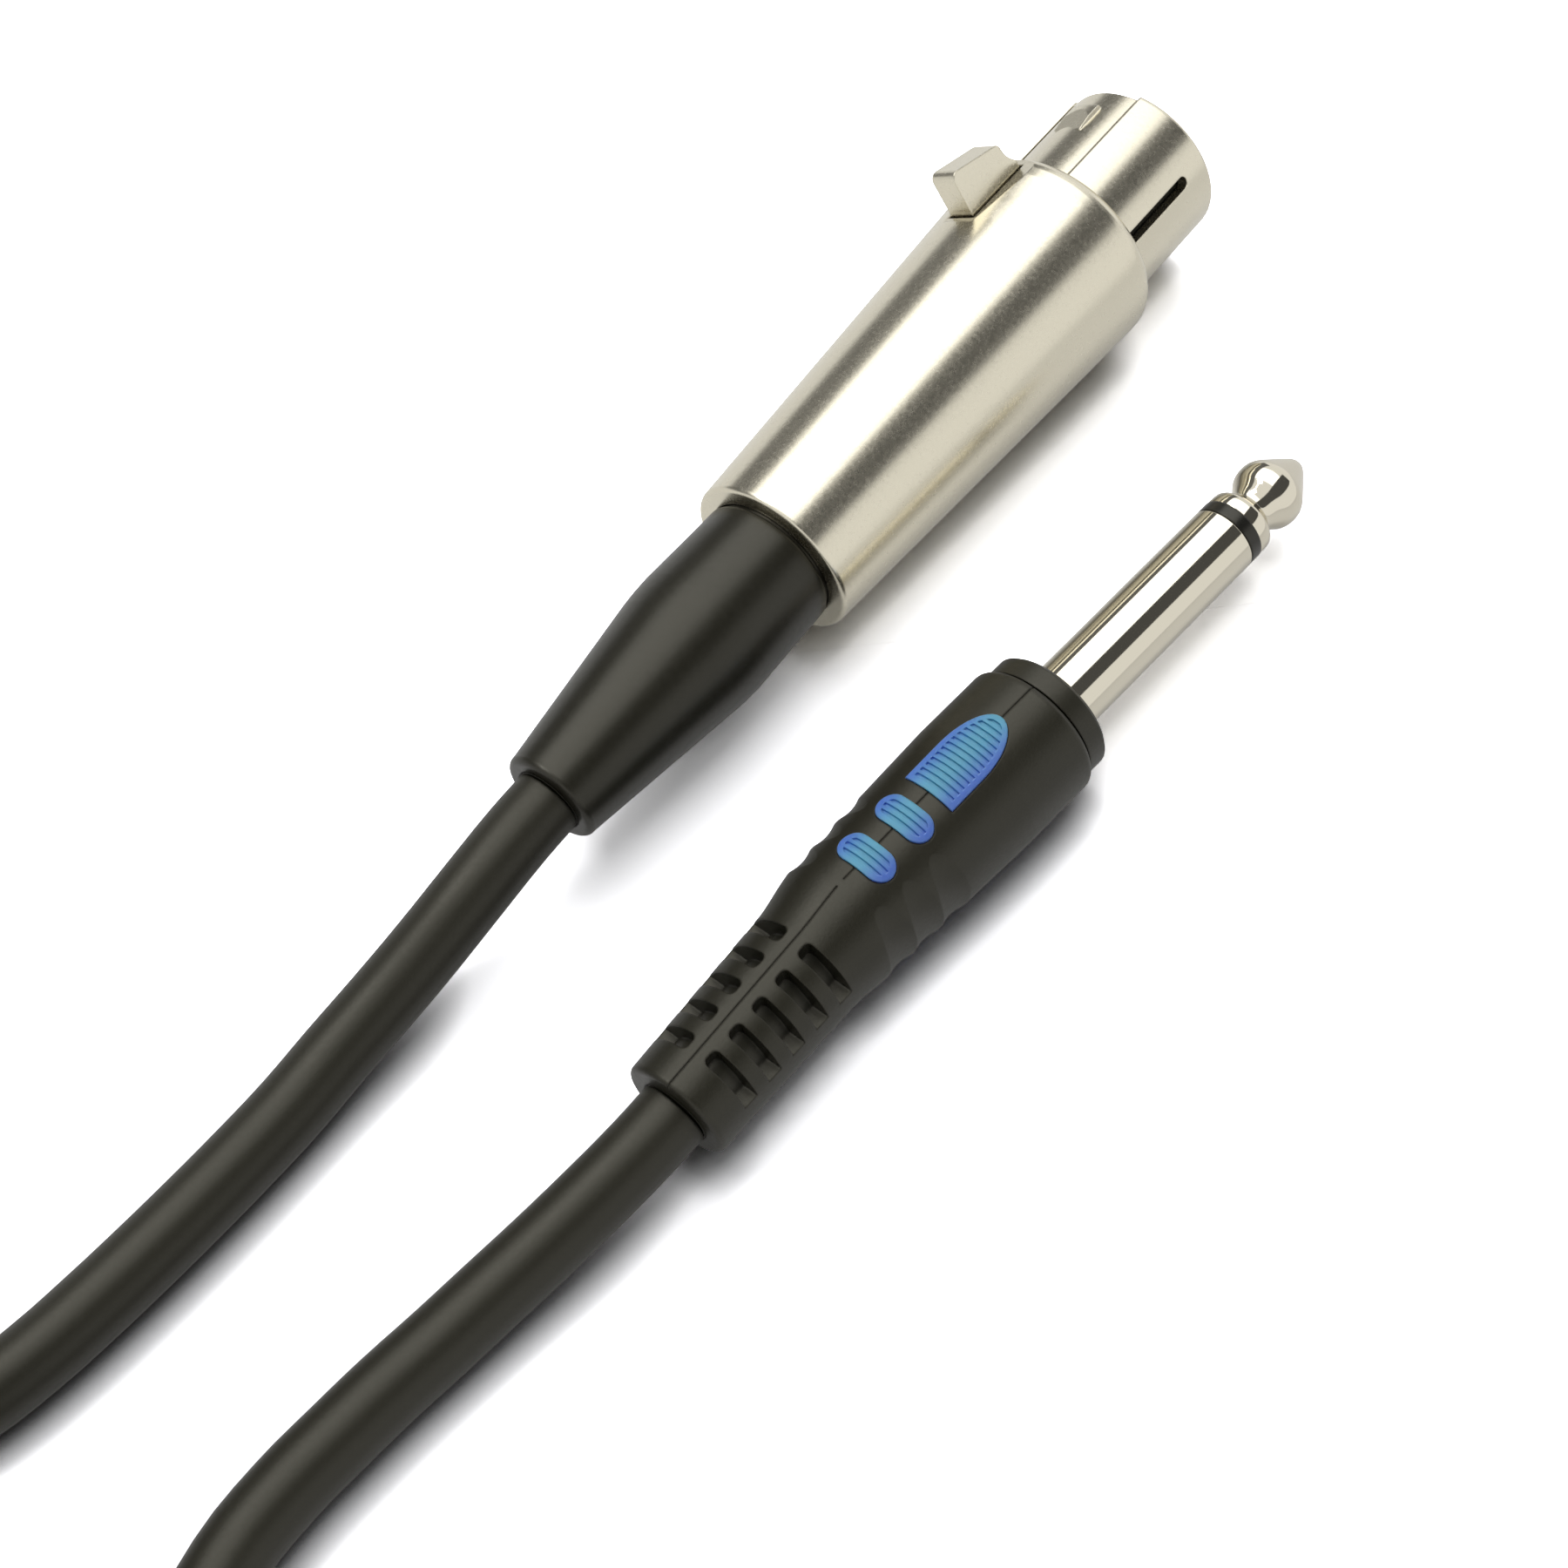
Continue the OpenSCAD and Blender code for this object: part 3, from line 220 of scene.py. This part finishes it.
# %% Tie: its centre line
TIE_T = 1.0
TAPE_T = 0.9
TIE_CORNER_R = 3.9
CORNER_STEPS = 8
tie_low, tie_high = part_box("coil_tie")
tie_width = tie_high.y - tie_low.y
left_x, right_x = tie_low.x + TIE_T / 2 * MM, tie_high.x - TIE_T / 2 * MM
floor_z, top_z = tie_low.z + TIE_T / 2 * MM, tie_high.z - TIE_T / 2 * MM
corner_r = TIE_CORNER_R * MM


def corner(x, z, start):
    """Points round a corner's centre, a quarter turn from the start angle."""
    turns = [math.radians(start + 90 * i / CORNER_STEPS) for i in range(CORNER_STEPS + 1)]
    spots = [(x + corner_r * math.cos(a), z + corner_r * math.sin(a)) for a in turns]
    return [Vector((across, tie_low.y, up)) for across, up in spots]


tie_line = (
    corner(right_x - corner_r, top_z - corner_r, 0)
    + corner(left_x + corner_r, top_z - corner_r, 90)
    + corner(left_x + corner_r, floor_z + corner_r, 180)
    + corner(right_x - corner_r, floor_z + corner_r, 270)
)
print("tie loop", len(tie_line), "points")

# %% Tie: strap and tail
TAIL_LEN = 17.0
TAIL_AT = 0.6
TAIL_STEPS = 8
WIDTH_STEPS = 6
EDGE_MM, EDGE_STEPS = 0.2, 2


def strap(line, closed, name):
    """Extrude a line of points across the tie's width and give it thickness."""
    mesh = bmesh.new()
    points = [mesh.verts.new(p) for p in line]
    pairs = list(zip(points, points[1:])) + ([(points[-1], points[0])] if closed else [])
    edges = [mesh.edges.new(pair) for pair in pairs]
    for _ in range(WIDTH_STEPS):
        made = bmesh.ops.extrude_edge_only(mesh, edges=edges)["geom"]
        edges = [g for g in made if isinstance(g, bmesh.types.BMEdge)]
        moved = [g for g in made if isinstance(g, bmesh.types.BMVert)]
        bmesh.ops.translate(mesh, verts=moved, vec=(0, tie_width / WIDTH_STEPS, 0))
    bmesh.ops.recalc_face_normals(mesh, faces=mesh.faces)
    made = add_mesh(name, mesh, smooth=True)
    thickness = made.modifiers.new("thickness", "SOLIDIFY")
    thickness.thickness = TAPE_T * MM
    thickness.offset = 0
    edge = made.modifiers.new("edge", "BEVEL")
    edge.width = EDGE_MM * MM
    edge.segments = EDGE_STEPS
    edge.limit_method = "ANGLE"
    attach(made, "cable")
    return made


tie = strap(tie_line, True, "tie_strap")
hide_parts("coil_tie")
tail_x = left_x + (right_x - left_x) * TAIL_AT
tail_z = top_z + TAPE_T * MM
tail_line = [
    Vector((tail_x + TAIL_LEN * MM * (i / TAIL_STEPS - 0.5), tie_low.y, tail_z))
    for i in range(TAIL_STEPS + 1)
]
tail = strap(tail_line, False, "tie_tail")
print("tie", round(tie_width / MM, 1), "mm wide")

# %% [markdown]
# ## The jack's tip
# The tip is turned from one brass rod: a collar next to the ring, a thin neck, a round
# shoulder where the socket's spring catches, and a long cone. A lathe makes such a shape
# from its outline, and so does a spin: the outline is drawn once, as pairs of distance
# along the axis and radius, then spun round the axis of the plug. The rod behind the
# collar runs back through the sleeve to its solder lug. Faces that meet at more than the
# crease angle keep a sharp edge between them.

# %% Jack tip
JACK_FRONT = (14.94, -1.92, 6.5)
JACK_YAW = -4.6
TIP_STEPS = 72
TIP_CREASE = 40
MERGE_MM = 0.001
TIP_OUTLINE = [
    (-11.5, 0), (-11.5, 1.15), (24.0, 1.15), (24.0, 3.04), (24.1, 3.12), (25.0, 3.12),
    (25.3, 3.08), (25.5, 2.95), (25.66, 2.75), (25.9, 2.42), (26.15, 2.18), (26.45, 2.1),
    (26.8, 2.2), (27.2, 2.46), (27.6, 2.76), (27.95, 2.99), (28.35, 3.13), (28.8, 3.2),
    (29.25, 3.2), (29.65, 3.13), (30.0, 2.98), (30.35, 2.78), (32.3, 1.4), (32.85, 0.98),
    (33.1, 0.72), (33.27, 0.4), (33.33, 0),
]
tip_mesh = bmesh.new()
outline = [(radius * MM, along * MM, 0) for along, radius in TIP_OUTLINE]
points = [tip_mesh.verts.new(spot) for spot in outline]
edges = [tip_mesh.edges.new(pair) for pair in zip(points, points[1:])]
bmesh.ops.spin(
    tip_mesh,
    geom=[*points, *edges],
    cent=(0, 0, 0),
    axis=(0, 1, 0),
    angle=2 * math.pi,
    steps=TIP_STEPS,
    use_merge=True,
)
bmesh.ops.remove_doubles(tip_mesh, verts=tip_mesh.verts, dist=MERGE_MM * MM)
bmesh.ops.recalc_face_normals(tip_mesh, faces=tip_mesh.faces)
turned = Matrix.Rotation(math.radians(JACK_YAW), 4, "Z")
to_jack = Matrix.Translation(Vector(JACK_FRONT) * MM) @ turned
bmesh.ops.transform(tip_mesh, matrix=to_jack, verts=tip_mesh.verts)
plug_tip = add_mesh("plug_tip", tip_mesh, smooth=True)
crease = plug_tip.modifiers.new("crease", "EDGE_SPLIT")
crease.split_angle = math.radians(TIP_CREASE)
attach(plug_tip, "cable")
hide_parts("jack_tip")
print("tip", len(plug_tip.data.vertices), "vertices")

# %% [markdown]
# ## Helpers for the finishes
# Colours are written as the sRGB hex codes that a paint chip has, and one function turns
# them into the linear light that the renderer adds up. Another adds one node to a
# material with its settings and links. The rest are named for what they do, so that each
# finish below reads as a short list. Patterns are sized in millimetres: a noise texture
# has about one cell a unit, and a wave texture turns through 20 radians a unit.

# %% Colours, nodes and materials
WHITE, BLACK = (1, 1, 1, 1), (0, 0, 0, 1)


def from_hex(code, factor=1.0):
    """An sRGB hex colour as linear RGBA, made brighter or darker by the factor."""
    parts = [int(code[i : i + 2], 16) / 255 for i in (0, 2, 4)]
    light = [c / 12.92 if c <= 0.04045 else ((c + 0.055) / 1.055) ** 2.4 for c in parts]
    return [c * factor for c in light] + [1.0]


def set_inputs(tree, node, inputs):
    """Give sockets their values, or link them to the sockets that feed them."""
    for name, value in dict(inputs).items():
        if isinstance(value, bpy.types.NodeSocket):
            tree.links.new(value, node.inputs[name])
        else:
            node.inputs[name].default_value = value


def add_node(tree, kind, inputs=(), **settings):
    """Add a node. Inputs are its sockets' values, or the sockets that feed them."""
    made = tree.nodes.new("ShaderNode" + kind)
    for name, value in settings.items():
        setattr(made, name, value)
    set_inputs(tree, made, inputs)
    return made


def start_material(name, **sockets):
    """A material with its main shader's constants set: (material, tree, shader)."""
    made = bpy.data.materials.new(name)
    made.use_nodes = True
    tree = made.node_tree
    shader = tree.nodes["Principled BSDF"]
    set_inputs(tree, shader, {key.replace("_", " "): sockets[key] for key in sockets})
    return made, tree, shader


def give(material, *names):
    """Put a material on CAD nodes."""
    for name in names:
        nodes[name].data.materials.clear()
        nodes[name].data.materials.append(material)


print("white in linear light", from_hex("ffffff"))

# %% Patterns and mixes
WAVE_RADIANS = 20
EDGE_SAMPLES = 6


def per_metre(size_mm):
    """The texture scale at which one cell is about this many millimetres."""
    return 1 / (size_mm * MM)


def cloudy(tree, size_mm, detail=2.0):
    """A cloudy pattern with cells of about this many millimetres."""
    place = add_node(tree, "TexCoord").outputs["Object"]
    inputs = {"Vector": place, "Scale": per_metre(size_mm), "Detail": detail}
    return add_node(tree, "TexNoise", inputs).outputs["Fac"]


def banded(tree, spacing_mm, direction, distortion, yaw=0):
    """Wavy bands this many millimetres apart, turned about z by so many degrees."""
    place = add_node(tree, "TexCoord").outputs["Object"]
    inputs = {"Vector": place, "Rotation": (0, 0, math.radians(-yaw))}
    turned = add_node(tree, "Mapping", inputs).outputs["Vector"]
    scale = per_metre(spacing_mm) * 2 * math.pi / WAVE_RADIANS
    inputs = {"Vector": turned, "Scale": scale, "Distortion": distortion}
    return add_node(tree, "TexWave", inputs, bands_direction=direction).outputs["Fac"]


def bumped(tree, height, depth_mm, edge_mm=None):
    """A surface bumped by a pattern, its edges rounded in the light only."""
    inputs = {"Height": height, "Distance": depth_mm * MM}
    if edge_mm:
        rounded = add_node(tree, "Bevel", {"Radius": edge_mm * MM}, samples=EDGE_SAMPLES)
        inputs["Normal"] = rounded.outputs["Normal"]
    return add_node(tree, "Bump", inputs).outputs["Normal"]


def between(tree, amount, first, second):
    """A colour between two, as far along as the amount says."""
    inputs = {"Fac": amount, "Color1": first, "Color2": second}
    return add_node(tree, "MixRGB", inputs).outputs["Color"]


def spread(tree, value, low, high):
    """Stretch a value from between 0 and 1 to between low and high."""
    inputs = {"Value": value, "To Min": low, "To Max": high}
    return add_node(tree, "MapRange", inputs).outputs["Result"]


def smooth_step(tree, value, start, stop):
    """0 up to the start, 1 past the stop, and a smooth step between them."""
    inputs = {"Value": value, "From Min": start, "From Max": stop}
    made = add_node(tree, "MapRange", inputs, interpolation_type="SMOOTHSTEP")
    return made.outputs["Result"]


def calculate(tree, operation, first, second=0.0):
    """The result of one sum on two values."""
    made = add_node(tree, "Math", {0: first, 1: second}, operation=operation)
    return made.outputs["Value"]


print("scale for 1 mm cells", per_metre(1))

# %% [markdown]
# ## Satin nickel
# The connector's shell and latch are zinc die castings with a satin nickel plate. The
# casting is blasted with fine grit before it is plated, so the plate is warm, soft in
# its reflections and very slightly grainy. Grit marks are near 0.1 mm, drawn here at
# 0.35 mm so that they show. The plate is smoother in some spots than in others, by the
# two ends of the roughness.

# %% Satin nickel
NICKEL = "d9d3c0"
GRIT_MM, GRIT_DEPTH_MM = 0.35, 0.0024
SATIN_ROUGHNESS = (0.17, 0.33)
SHELL_EDGE_MM = 0.22
satin_nickel, tree, shader = start_material(
    "satin_nickel_plate", Base_Color=from_hex(NICKEL), Metallic=1.0
)
grit = cloudy(tree, GRIT_MM, detail=3.0)
satin = spread(tree, grit, *SATIN_ROUGHNESS)
bumps = bumped(tree, grit, GRIT_DEPTH_MM, SHELL_EDGE_MM)
set_inputs(tree, shader, {"Roughness": satin, "Normal": bumps})
give(satin_nickel, "xlr_shell", "latch_lever", "insert_screw")
print("grit scale", round(per_metre(GRIT_MM)))

# %% [markdown]
# ## Polished nickel
# The plug's sleeve and tip are turned brass with a bright nickel plate. Reflections stay
# sharp, and the lathe leaves very faint waves round the axis, a millimetre and a half
# apart.

# %% Polished nickel
BRIGHT_NICKEL = "d6d0bf"
TURNING_MM, TURNING_DEPTH_MM = 1.5708, 0.0008
PLUG_EDGE_MM = 0.12
polished_nickel, tree, shader = start_material(
    "polished_nickel_plate",
    Base_Color=from_hex(BRIGHT_NICKEL),
    Metallic=1.0,
    Roughness=0.07,
)
rings = banded(tree, TURNING_MM, "Y", distortion=2.0, yaw=JACK_YAW)
bumps = bumped(tree, rings, TURNING_DEPTH_MM, PLUG_EDGE_MM)
set_inputs(tree, shader, {"Normal": bumps})
give(polished_nickel, "jack_sleeve")
plug_tip.data.materials.append(polished_nickel)
print("turning marks every", round(TURNING_MM, 1), "mm")

# %% [markdown]
# ## Brass, steel and copper inside
# The contacts and lugs are turned and stamped brass, the latch spring is bright wire,
# and the screen of the cable is stranded copper. They are seen only down the sockets
# and through the gaps, yet each has the grain of its own process, in a duller shade of
# its colour. The table gives colour, roughness, grain size in millimetres, and pieces.

# %% Inner metals
TARNISH = 0.7
INNER_DEPTH_MM = 0.01
BRASS_PIECES = ["contact_1", "contact_2", "contact_3", "tip_lug", "sleeve_lug"]
COPPER_PIECES = ["wire_screen_xlr", "wire_link_xlr", "wire_screen_jack"]
INNER_METALS = {
    "turned_brass": ("c9a55c", 0.28, 0.2, BRASS_PIECES),
    "spring_wire": ("b4b2ac", 0.25, 0.1, ["latch_spring"]),
    "stranded_copper": ("c98a5e", 0.35, 0.25, COPPER_PIECES),
}
for name, (colour, roughness, grain_mm, wearers) in INNER_METALS.items():
    metal, tree, shader = start_material(name, Metallic=1.0, Roughness=roughness)
    grain = cloudy(tree, grain_mm)
    tint = between(tree, grain, from_hex(colour), from_hex(colour, TARNISH))
    bumps = bumped(tree, grain, INNER_DEPTH_MM)
    set_inputs(tree, shader, {"Base Color": tint, "Normal": bumps})
    give(metal, *wearers)
    print(name, "on", wearers)

# %% [markdown]
# ## Black plastics and rubbers
# Nearly everything else is black, yet no two blacks are alike. The boot is smooth
# polyurethane with a broad sheen. The plug's body is soft PVC from a spark-eroded mould,
# a little rougher. The cable's jacket has a fine matt skin from the extruder. The insert
# is glass-filled and dull, and the ring behind the tip is turned and glossier. One loop
# makes them from a table: colour, roughness, grain size and grain depth in millimetres.
# Broad clouds make each a little lighter here and there, and its grain makes it now a
# little duller, now a little glossier.

# %% Black plastics and rubbers
PLASTIC_IOR = 1.5
WARM_SHEEN = "fffbec"
CLOUD_MM, CLOUD_LIGHT = 9, 1.25
MATT_SPREAD = 0.06
SOFT_EDGE_MM = 0.25
BLACKS = {
    "boot_polyurethane": ("191811", 0.35, 0.5, 0.006, ["xlr_boot"]),
    "body_soft_pvc": ("1a1911", 0.42, 0.28, 0.012, ["jack_body", "jack_collar"]),
    "jacket_pvc": ("1f1e17", 0.46, 0.35, 0.01, ["cable_end_xlr", "cable_end_jack"]),
    "insert_glass_filled": ("161614", 0.55, 0.2, 0.01, ["xlr_insert"]),
    "ring_nylon": ("121210", 0.3, 0.3, 0.004, ["tip_insulator"]),
}
for name, (colour, roughness, grain_mm, depth_mm, wearers) in BLACKS.items():
    black, tree, shader = start_material(
        name, IOR=PLASTIC_IOR, Specular_Tint=from_hex(WARM_SHEEN)
    )
    grain = cloudy(tree, grain_mm, detail=4.0)
    clouds = cloudy(tree, CLOUD_MM)
    tint = between(tree, clouds, from_hex(colour), from_hex(colour, CLOUD_LIGHT))
    matt = spread(tree, grain, roughness - MATT_SPREAD, roughness + MATT_SPREAD)
    bumps = bumped(tree, grain, depth_mm, SOFT_EDGE_MM)
    set_inputs(tree, shader, {"Base Color": tint, "Roughness": matt, "Normal": bumps})
    give(black, *wearers)
    print(name, "on", wearers)
cable.data.materials.append(bpy.data.materials["jacket_pvc"])

# %% [markdown]
# ## Coloured plastics
# The chuck that grips the cable is ivory acetal, and the hot conductor has red
# insulation. The grip inlays are bright blue thermoplastic rubber, a little cloudy
# inside, so light soaks in and comes out softer. Each inlay has a painted highlight: it
# is painted paler along the plug, just off the middle, where light falls on its crown,
# and its blue deepens in a smooth step to either side.

# %% Coloured plastics
PLASTIC_ROUGHNESS = 0.4
PLASTIC_DEPTH_MM, PLASTIC_EDGE_MM = 0.01, 0.15
INLAYS = [name for name in nodes if name.startswith("inlay_")]
COLOURED = {
    "inlay_blue_rubber": ("5e88dc", "5678d4", 0.5, INLAYS),
    "chuck_acetal": ("e6e0cf", "d8d0ba", 0.4, ["cable_chuck"]),
    "insulation_red": ("9c1f1c", "7c1412", 0.3, ["wire_hot_xlr", "wire_hot_jack"]),
}
for name, (colour, second, grain_mm, wearers) in COLOURED.items():
    plastic, tree, shader = start_material(
        name, IOR=PLASTIC_IOR, Roughness=PLASTIC_ROUGHNESS
    )
    grain = cloudy(tree, grain_mm)
    tint = between(tree, grain, from_hex(colour), from_hex(second))
    bumps = bumped(tree, grain, PLASTIC_DEPTH_MM, PLASTIC_EDGE_MM)
    set_inputs(tree, shader, {"Base Color": tint, "Normal": bumps})
    give(plastic, *wearers)
    print(name, "on", wearers)

# %% [markdown]
# The painted highlight depends on the distance from a line along the plug, so the
# material first turns its coordinates into the plug's own. The cloudiness is subsurface
# scattering, a little deeper for blue light than for red.

# %% The blue's painted highlight
PAINTED_HIGHLIGHT_BLUE = "58a8c8"
HIGHLIGHT_AT_MM = -0.75
HIGHLIGHT_FROM_MM, HIGHLIGHT_TO_MM = 0.2, 2.5
CLOUDINESS = {
    "Subsurface Weight": 0.7,
    "Subsurface Scale": 0.9 * MM,
    "Subsurface Radius": (0.8, 0.9, 1.0),
}
tree = bpy.data.materials["inlay_blue_rubber"].node_tree
shader = tree.nodes["Principled BSDF"]
deep_blue = shader.inputs["Base Color"].links[0].from_socket
plug_place = {
    "Vector": add_node(tree, "TexCoord").outputs["Object"],
    "Location": Vector(JACK_FRONT) * MM,
    "Rotation": (0, 0, math.radians(JACK_YAW)),
}
in_plug = add_node(tree, "Mapping", plug_place, vector_type="TEXTURE").outputs["Vector"]
across = add_node(tree, "SeparateXYZ", {"Vector": in_plug}).outputs["X"]
aside = calculate(tree, "SUBTRACT", across, HIGHLIGHT_AT_MM * MM)
aside = calculate(tree, "ABSOLUTE", aside)
# Painted highlight: paler along the line, fading to the inlay's own blue at the sides.
highlight_falloff = smooth_step(tree, aside, HIGHLIGHT_FROM_MM * MM, HIGHLIGHT_TO_MM * MM)
blue = between(tree, highlight_falloff, from_hex(PAINTED_HIGHLIGHT_BLUE), deep_blue)
set_inputs(tree, shader, {"Base Color": blue, **CLOUDINESS})
print("blue deepens over", HIGHLIGHT_TO_MM - HIGHLIGHT_FROM_MM, "mm")

# %% [markdown]
# ## Hook-and-loop tape
# The strap is woven nylon with a pile of fine loops. The pile is a soft, irregular fuzz
# about 0.6 mm across, and it lies in rows about 5 mm apart.

# %% Hook-and-loop tape
TAPE_DARK, TAPE_LIGHT = "1a1a1c", "3a3a3d"
PILE_MM, PILE_DEPTH_MM = 0.6, 0.15
ROW_MM = 5.0265
tape, tree, shader = start_material(
    "hook_and_loop_nylon", Roughness=0.85, Sheen_Weight=0.35, Sheen_Roughness=0.5
)
pile = cloudy(tree, PILE_MM, detail=5.0)
rows = banded(tree, ROW_MM, "X", distortion=3.0)
weave = calculate(tree, "MULTIPLY", pile, rows)
tint = between(tree, weave, from_hex(TAPE_DARK), from_hex(TAPE_LIGHT))
bumps = bumped(tree, weave, PILE_DEPTH_MM)
set_inputs(tree, shader, {"Base Color": tint, "Normal": bumps})
for piece in (tie, tail):
    piece.data.materials.append(tape)
print("tape on", tie.name, tail.name)

# %% [markdown]
# ## Floor
# The table is a plain white diffuse surface. The camera sees its paint brighter than
# white, so the open table comes out paper white and only the object's shadow stays grey.
# To the camera, the paint darkens within a few millimetres of the object: an ambient
# occlusion test paints a contact shadow there, painted shade on top of the real shadow.
# Further out the table fades to a glow of exactly paper white, whatever the lamps do
# there. The metal sees the same glow far out, and a fifth of it close by. No ray that has
# met a matt surface sees any of this: to such a ray the table is white and nothing more,
# so none of it lights the object.

# %% Rays
def kinds_of_ray(tree):
    """1 or 0 for each of: from the camera, mirrored by a surface, no matt surface met."""
    rays = add_node(tree, "LightPath").outputs
    glossy, clear = rays["Is Glossy Ray"], rays["Is Transmission Ray"]
    mirrored = calculate(tree, "MAXIMUM", glossy, clear)
    direct = calculate(tree, "LESS_THAN", rays["Diffuse Depth"], 1)
    return rays["Is Camera Ray"], mirrored, direct


print(len(bpy.data.materials), "materials so far")

# %% Floor
FLOOR_SIZE = 30
FADE_FROM, FADE_TO = 0.16, 0.45
CAMERA_WHITE = (3.7, 3.7, 3.78, 1)
CONTACT_SHADE_MM, CONTACT_SHADE_POWER, CONTACT_SHADE_SAMPLES = 4.2, 1.8, 12
MIRRORED_WHITE = 0.2
floor_mesh = bmesh.new()
bmesh.ops.create_grid(floor_mesh, x_segments=1, y_segments=1, size=FLOOR_SIZE)
floor = add_mesh("floor", floor_mesh)

floor_paint, tree, shader = start_material("white_table")
tree.nodes.remove(shader)
place = add_node(tree, "TexCoord").outputs["Object"]
distance = add_node(tree, "VectorMath", {0: place}, operation="LENGTH").outputs["Value"]
fade = smooth_step(tree, distance, FADE_FROM, FADE_TO)
from_camera, mirrored, direct = kinds_of_ray(tree)
seen = calculate(tree, "MAXIMUM", mirrored, from_camera)
far = calculate(tree, "MULTIPLY", seen, fade)
near = calculate(tree, "MULTIPLY", mirrored, MIRRORED_WHITE)
glowing = calculate(tree, "MAXIMUM", far, near)
glowing = calculate(tree, "MULTIPLY", glowing, direct)
# Painted shade: an ambient occlusion test darkens the camera's paint of the table near the
# object.
contact_shade = add_node(
    tree, "AmbientOcclusion", {"Distance": CONTACT_SHADE_MM * MM}, samples=CONTACT_SHADE_SAMPLES
)
unshaded = calculate(tree, "POWER", contact_shade.outputs["AO"], CONTACT_SHADE_POWER)
camera_paint_with_shade = between(tree, unshaded, BLACK, CAMERA_WHITE)
paint = between(tree, from_camera, WHITE, camera_paint_with_shade)
lit = add_node(tree, "BsdfDiffuse", {"Color": paint}).outputs["BSDF"]
paper = add_node(tree, "Emission", {"Color": WHITE, "Strength": 1.0}).outputs["Emission"]
blend = add_node(tree, "MixShader", {0: glowing, 1: lit, 2: paper}).outputs["Shader"]
set_inputs(tree, tree.nodes["Material Output"], {"Surface": blend})
floor.data.materials.append(floor_paint)
print("floor", 2 * FLOOR_SIZE, "m wide")

# %% [markdown]
# ## Studio light
# A long softbox hangs overhead and a little to the left: it makes the broad white stripe
# along each round part. A smaller lamp lower on the left gives the shadows a direction.
# Two long strips, one low on the left and one overhead, lift the matt parts: the metal
# doesn't see them. The world is paper white to the eye and in the metal, and much dimmer
# as a light. Dark cards stand on either side of the softbox. They show only in
# reflections, where they draw the dark lines that make metal look like metal.

# %% World
WORLD_LEVEL = 0.02
world = bpy.data.worlds.new("studio")
bpy.context.scene.world = world
world.use_nodes = True
tree = world.node_tree
from_camera, mirrored, direct = kinds_of_ray(tree)
seen = calculate(tree, "MAXIMUM", from_camera, mirrored)
seen = calculate(tree, "MULTIPLY", seen, direct)
level = spread(tree, seen, WORLD_LEVEL, 1.0)
set_inputs(tree, tree.nodes["Background"], {"Color": WHITE, "Strength": level})
print("world level", WORLD_LEVEL)

# %% [markdown]
# Each row of the table of lamps gives the tilt from overhead in degrees, the distance
# from the table, how far ahead along y the lamp hangs and aims, its width and length in
# metres, its brightness where 1 is white, and whether metal mirrors it.

# %% Lamps
LAMPS = {
    "softbox": (-21.5, 0.62, 0.2, 0.2, 0.67, 0.8, 1.35, True),
    "key": (-33, 0.6, -0.2, 0, 0.18, 0.16, 8.0, True),
    "fill_low": (-54, 0.6, 0.1, 0.1, 0.12, 0.8, 2.2, False),
    "fill_top": (-3, 0.6, 0.1, 0.1, 0.14, 0.8, 2.4, False),
}
for name, (tilt, distance, ahead, aim_y, width, length, bright, in_metal) in LAMPS.items():
    light = bpy.data.lights.new(name, "AREA")
    light.shape = "RECTANGLE"
    light.size, light.size_y = width, length
    light.energy = bright * math.pi * light.size * light.size_y
    lamp = add_object(name, light)
    lean = math.radians(tilt)
    lamp.location = (math.sin(lean) * distance, ahead, math.cos(lean) * distance)
    aim = Vector((0, aim_y, 0)) - lamp.location
    lamp.rotation_euler = aim.to_track_quat("-Z", "Y").to_euler()
    lamp.visible_glossy = in_metal
    print(name, round(light.energy, 2), "W")

# %% [markdown]
# Each card is an arc round the y axis, given by its two ends in degrees from overhead
# and how bright its grey is.

# %% Dark cards
CARD_R = 0.72
CARD_BACK, CARD_FRONT = -0.7, 1.1
CARD_STEPS = 12
CARDS = {"card_right": (10, 48, 0.09), "card_left": (-92, -52, 0.16)}
for name, (start, stop, grey) in CARDS.items():
    card_mesh = bmesh.new()
    first = Matrix.Rotation(math.radians(start), 3, "Y") @ Vector((0, 0, CARD_R))
    spots = [first + Vector((0, y, 0)) for y in (CARD_BACK, CARD_FRONT)]
    ends = [card_mesh.verts.new(spot) for spot in spots]
    edge = card_mesh.edges.new(ends)
    bmesh.ops.spin(
        card_mesh,
        geom=[*ends, edge],
        cent=(0, 0, 0),
        axis=(0, 1, 0),
        angle=math.radians(stop - start),
        steps=CARD_STEPS,
    )
    card = add_mesh(name, card_mesh)
    card_paint, tree, shader = start_material(name)
    tree.nodes.remove(shader)
    glow = add_node(tree, "Emission", {"Color": WHITE, "Strength": grey})
    surface = {"Surface": glow.outputs["Emission"]}
    set_inputs(tree, tree.nodes["Material Output"], surface)
    card.data.materials.append(card_paint)
    card.visible_camera = False
    card.visible_diffuse = False
    card.visible_shadow = False
    card.visible_transmission = False
    print(name, "from", start, "to", stop, "degrees")
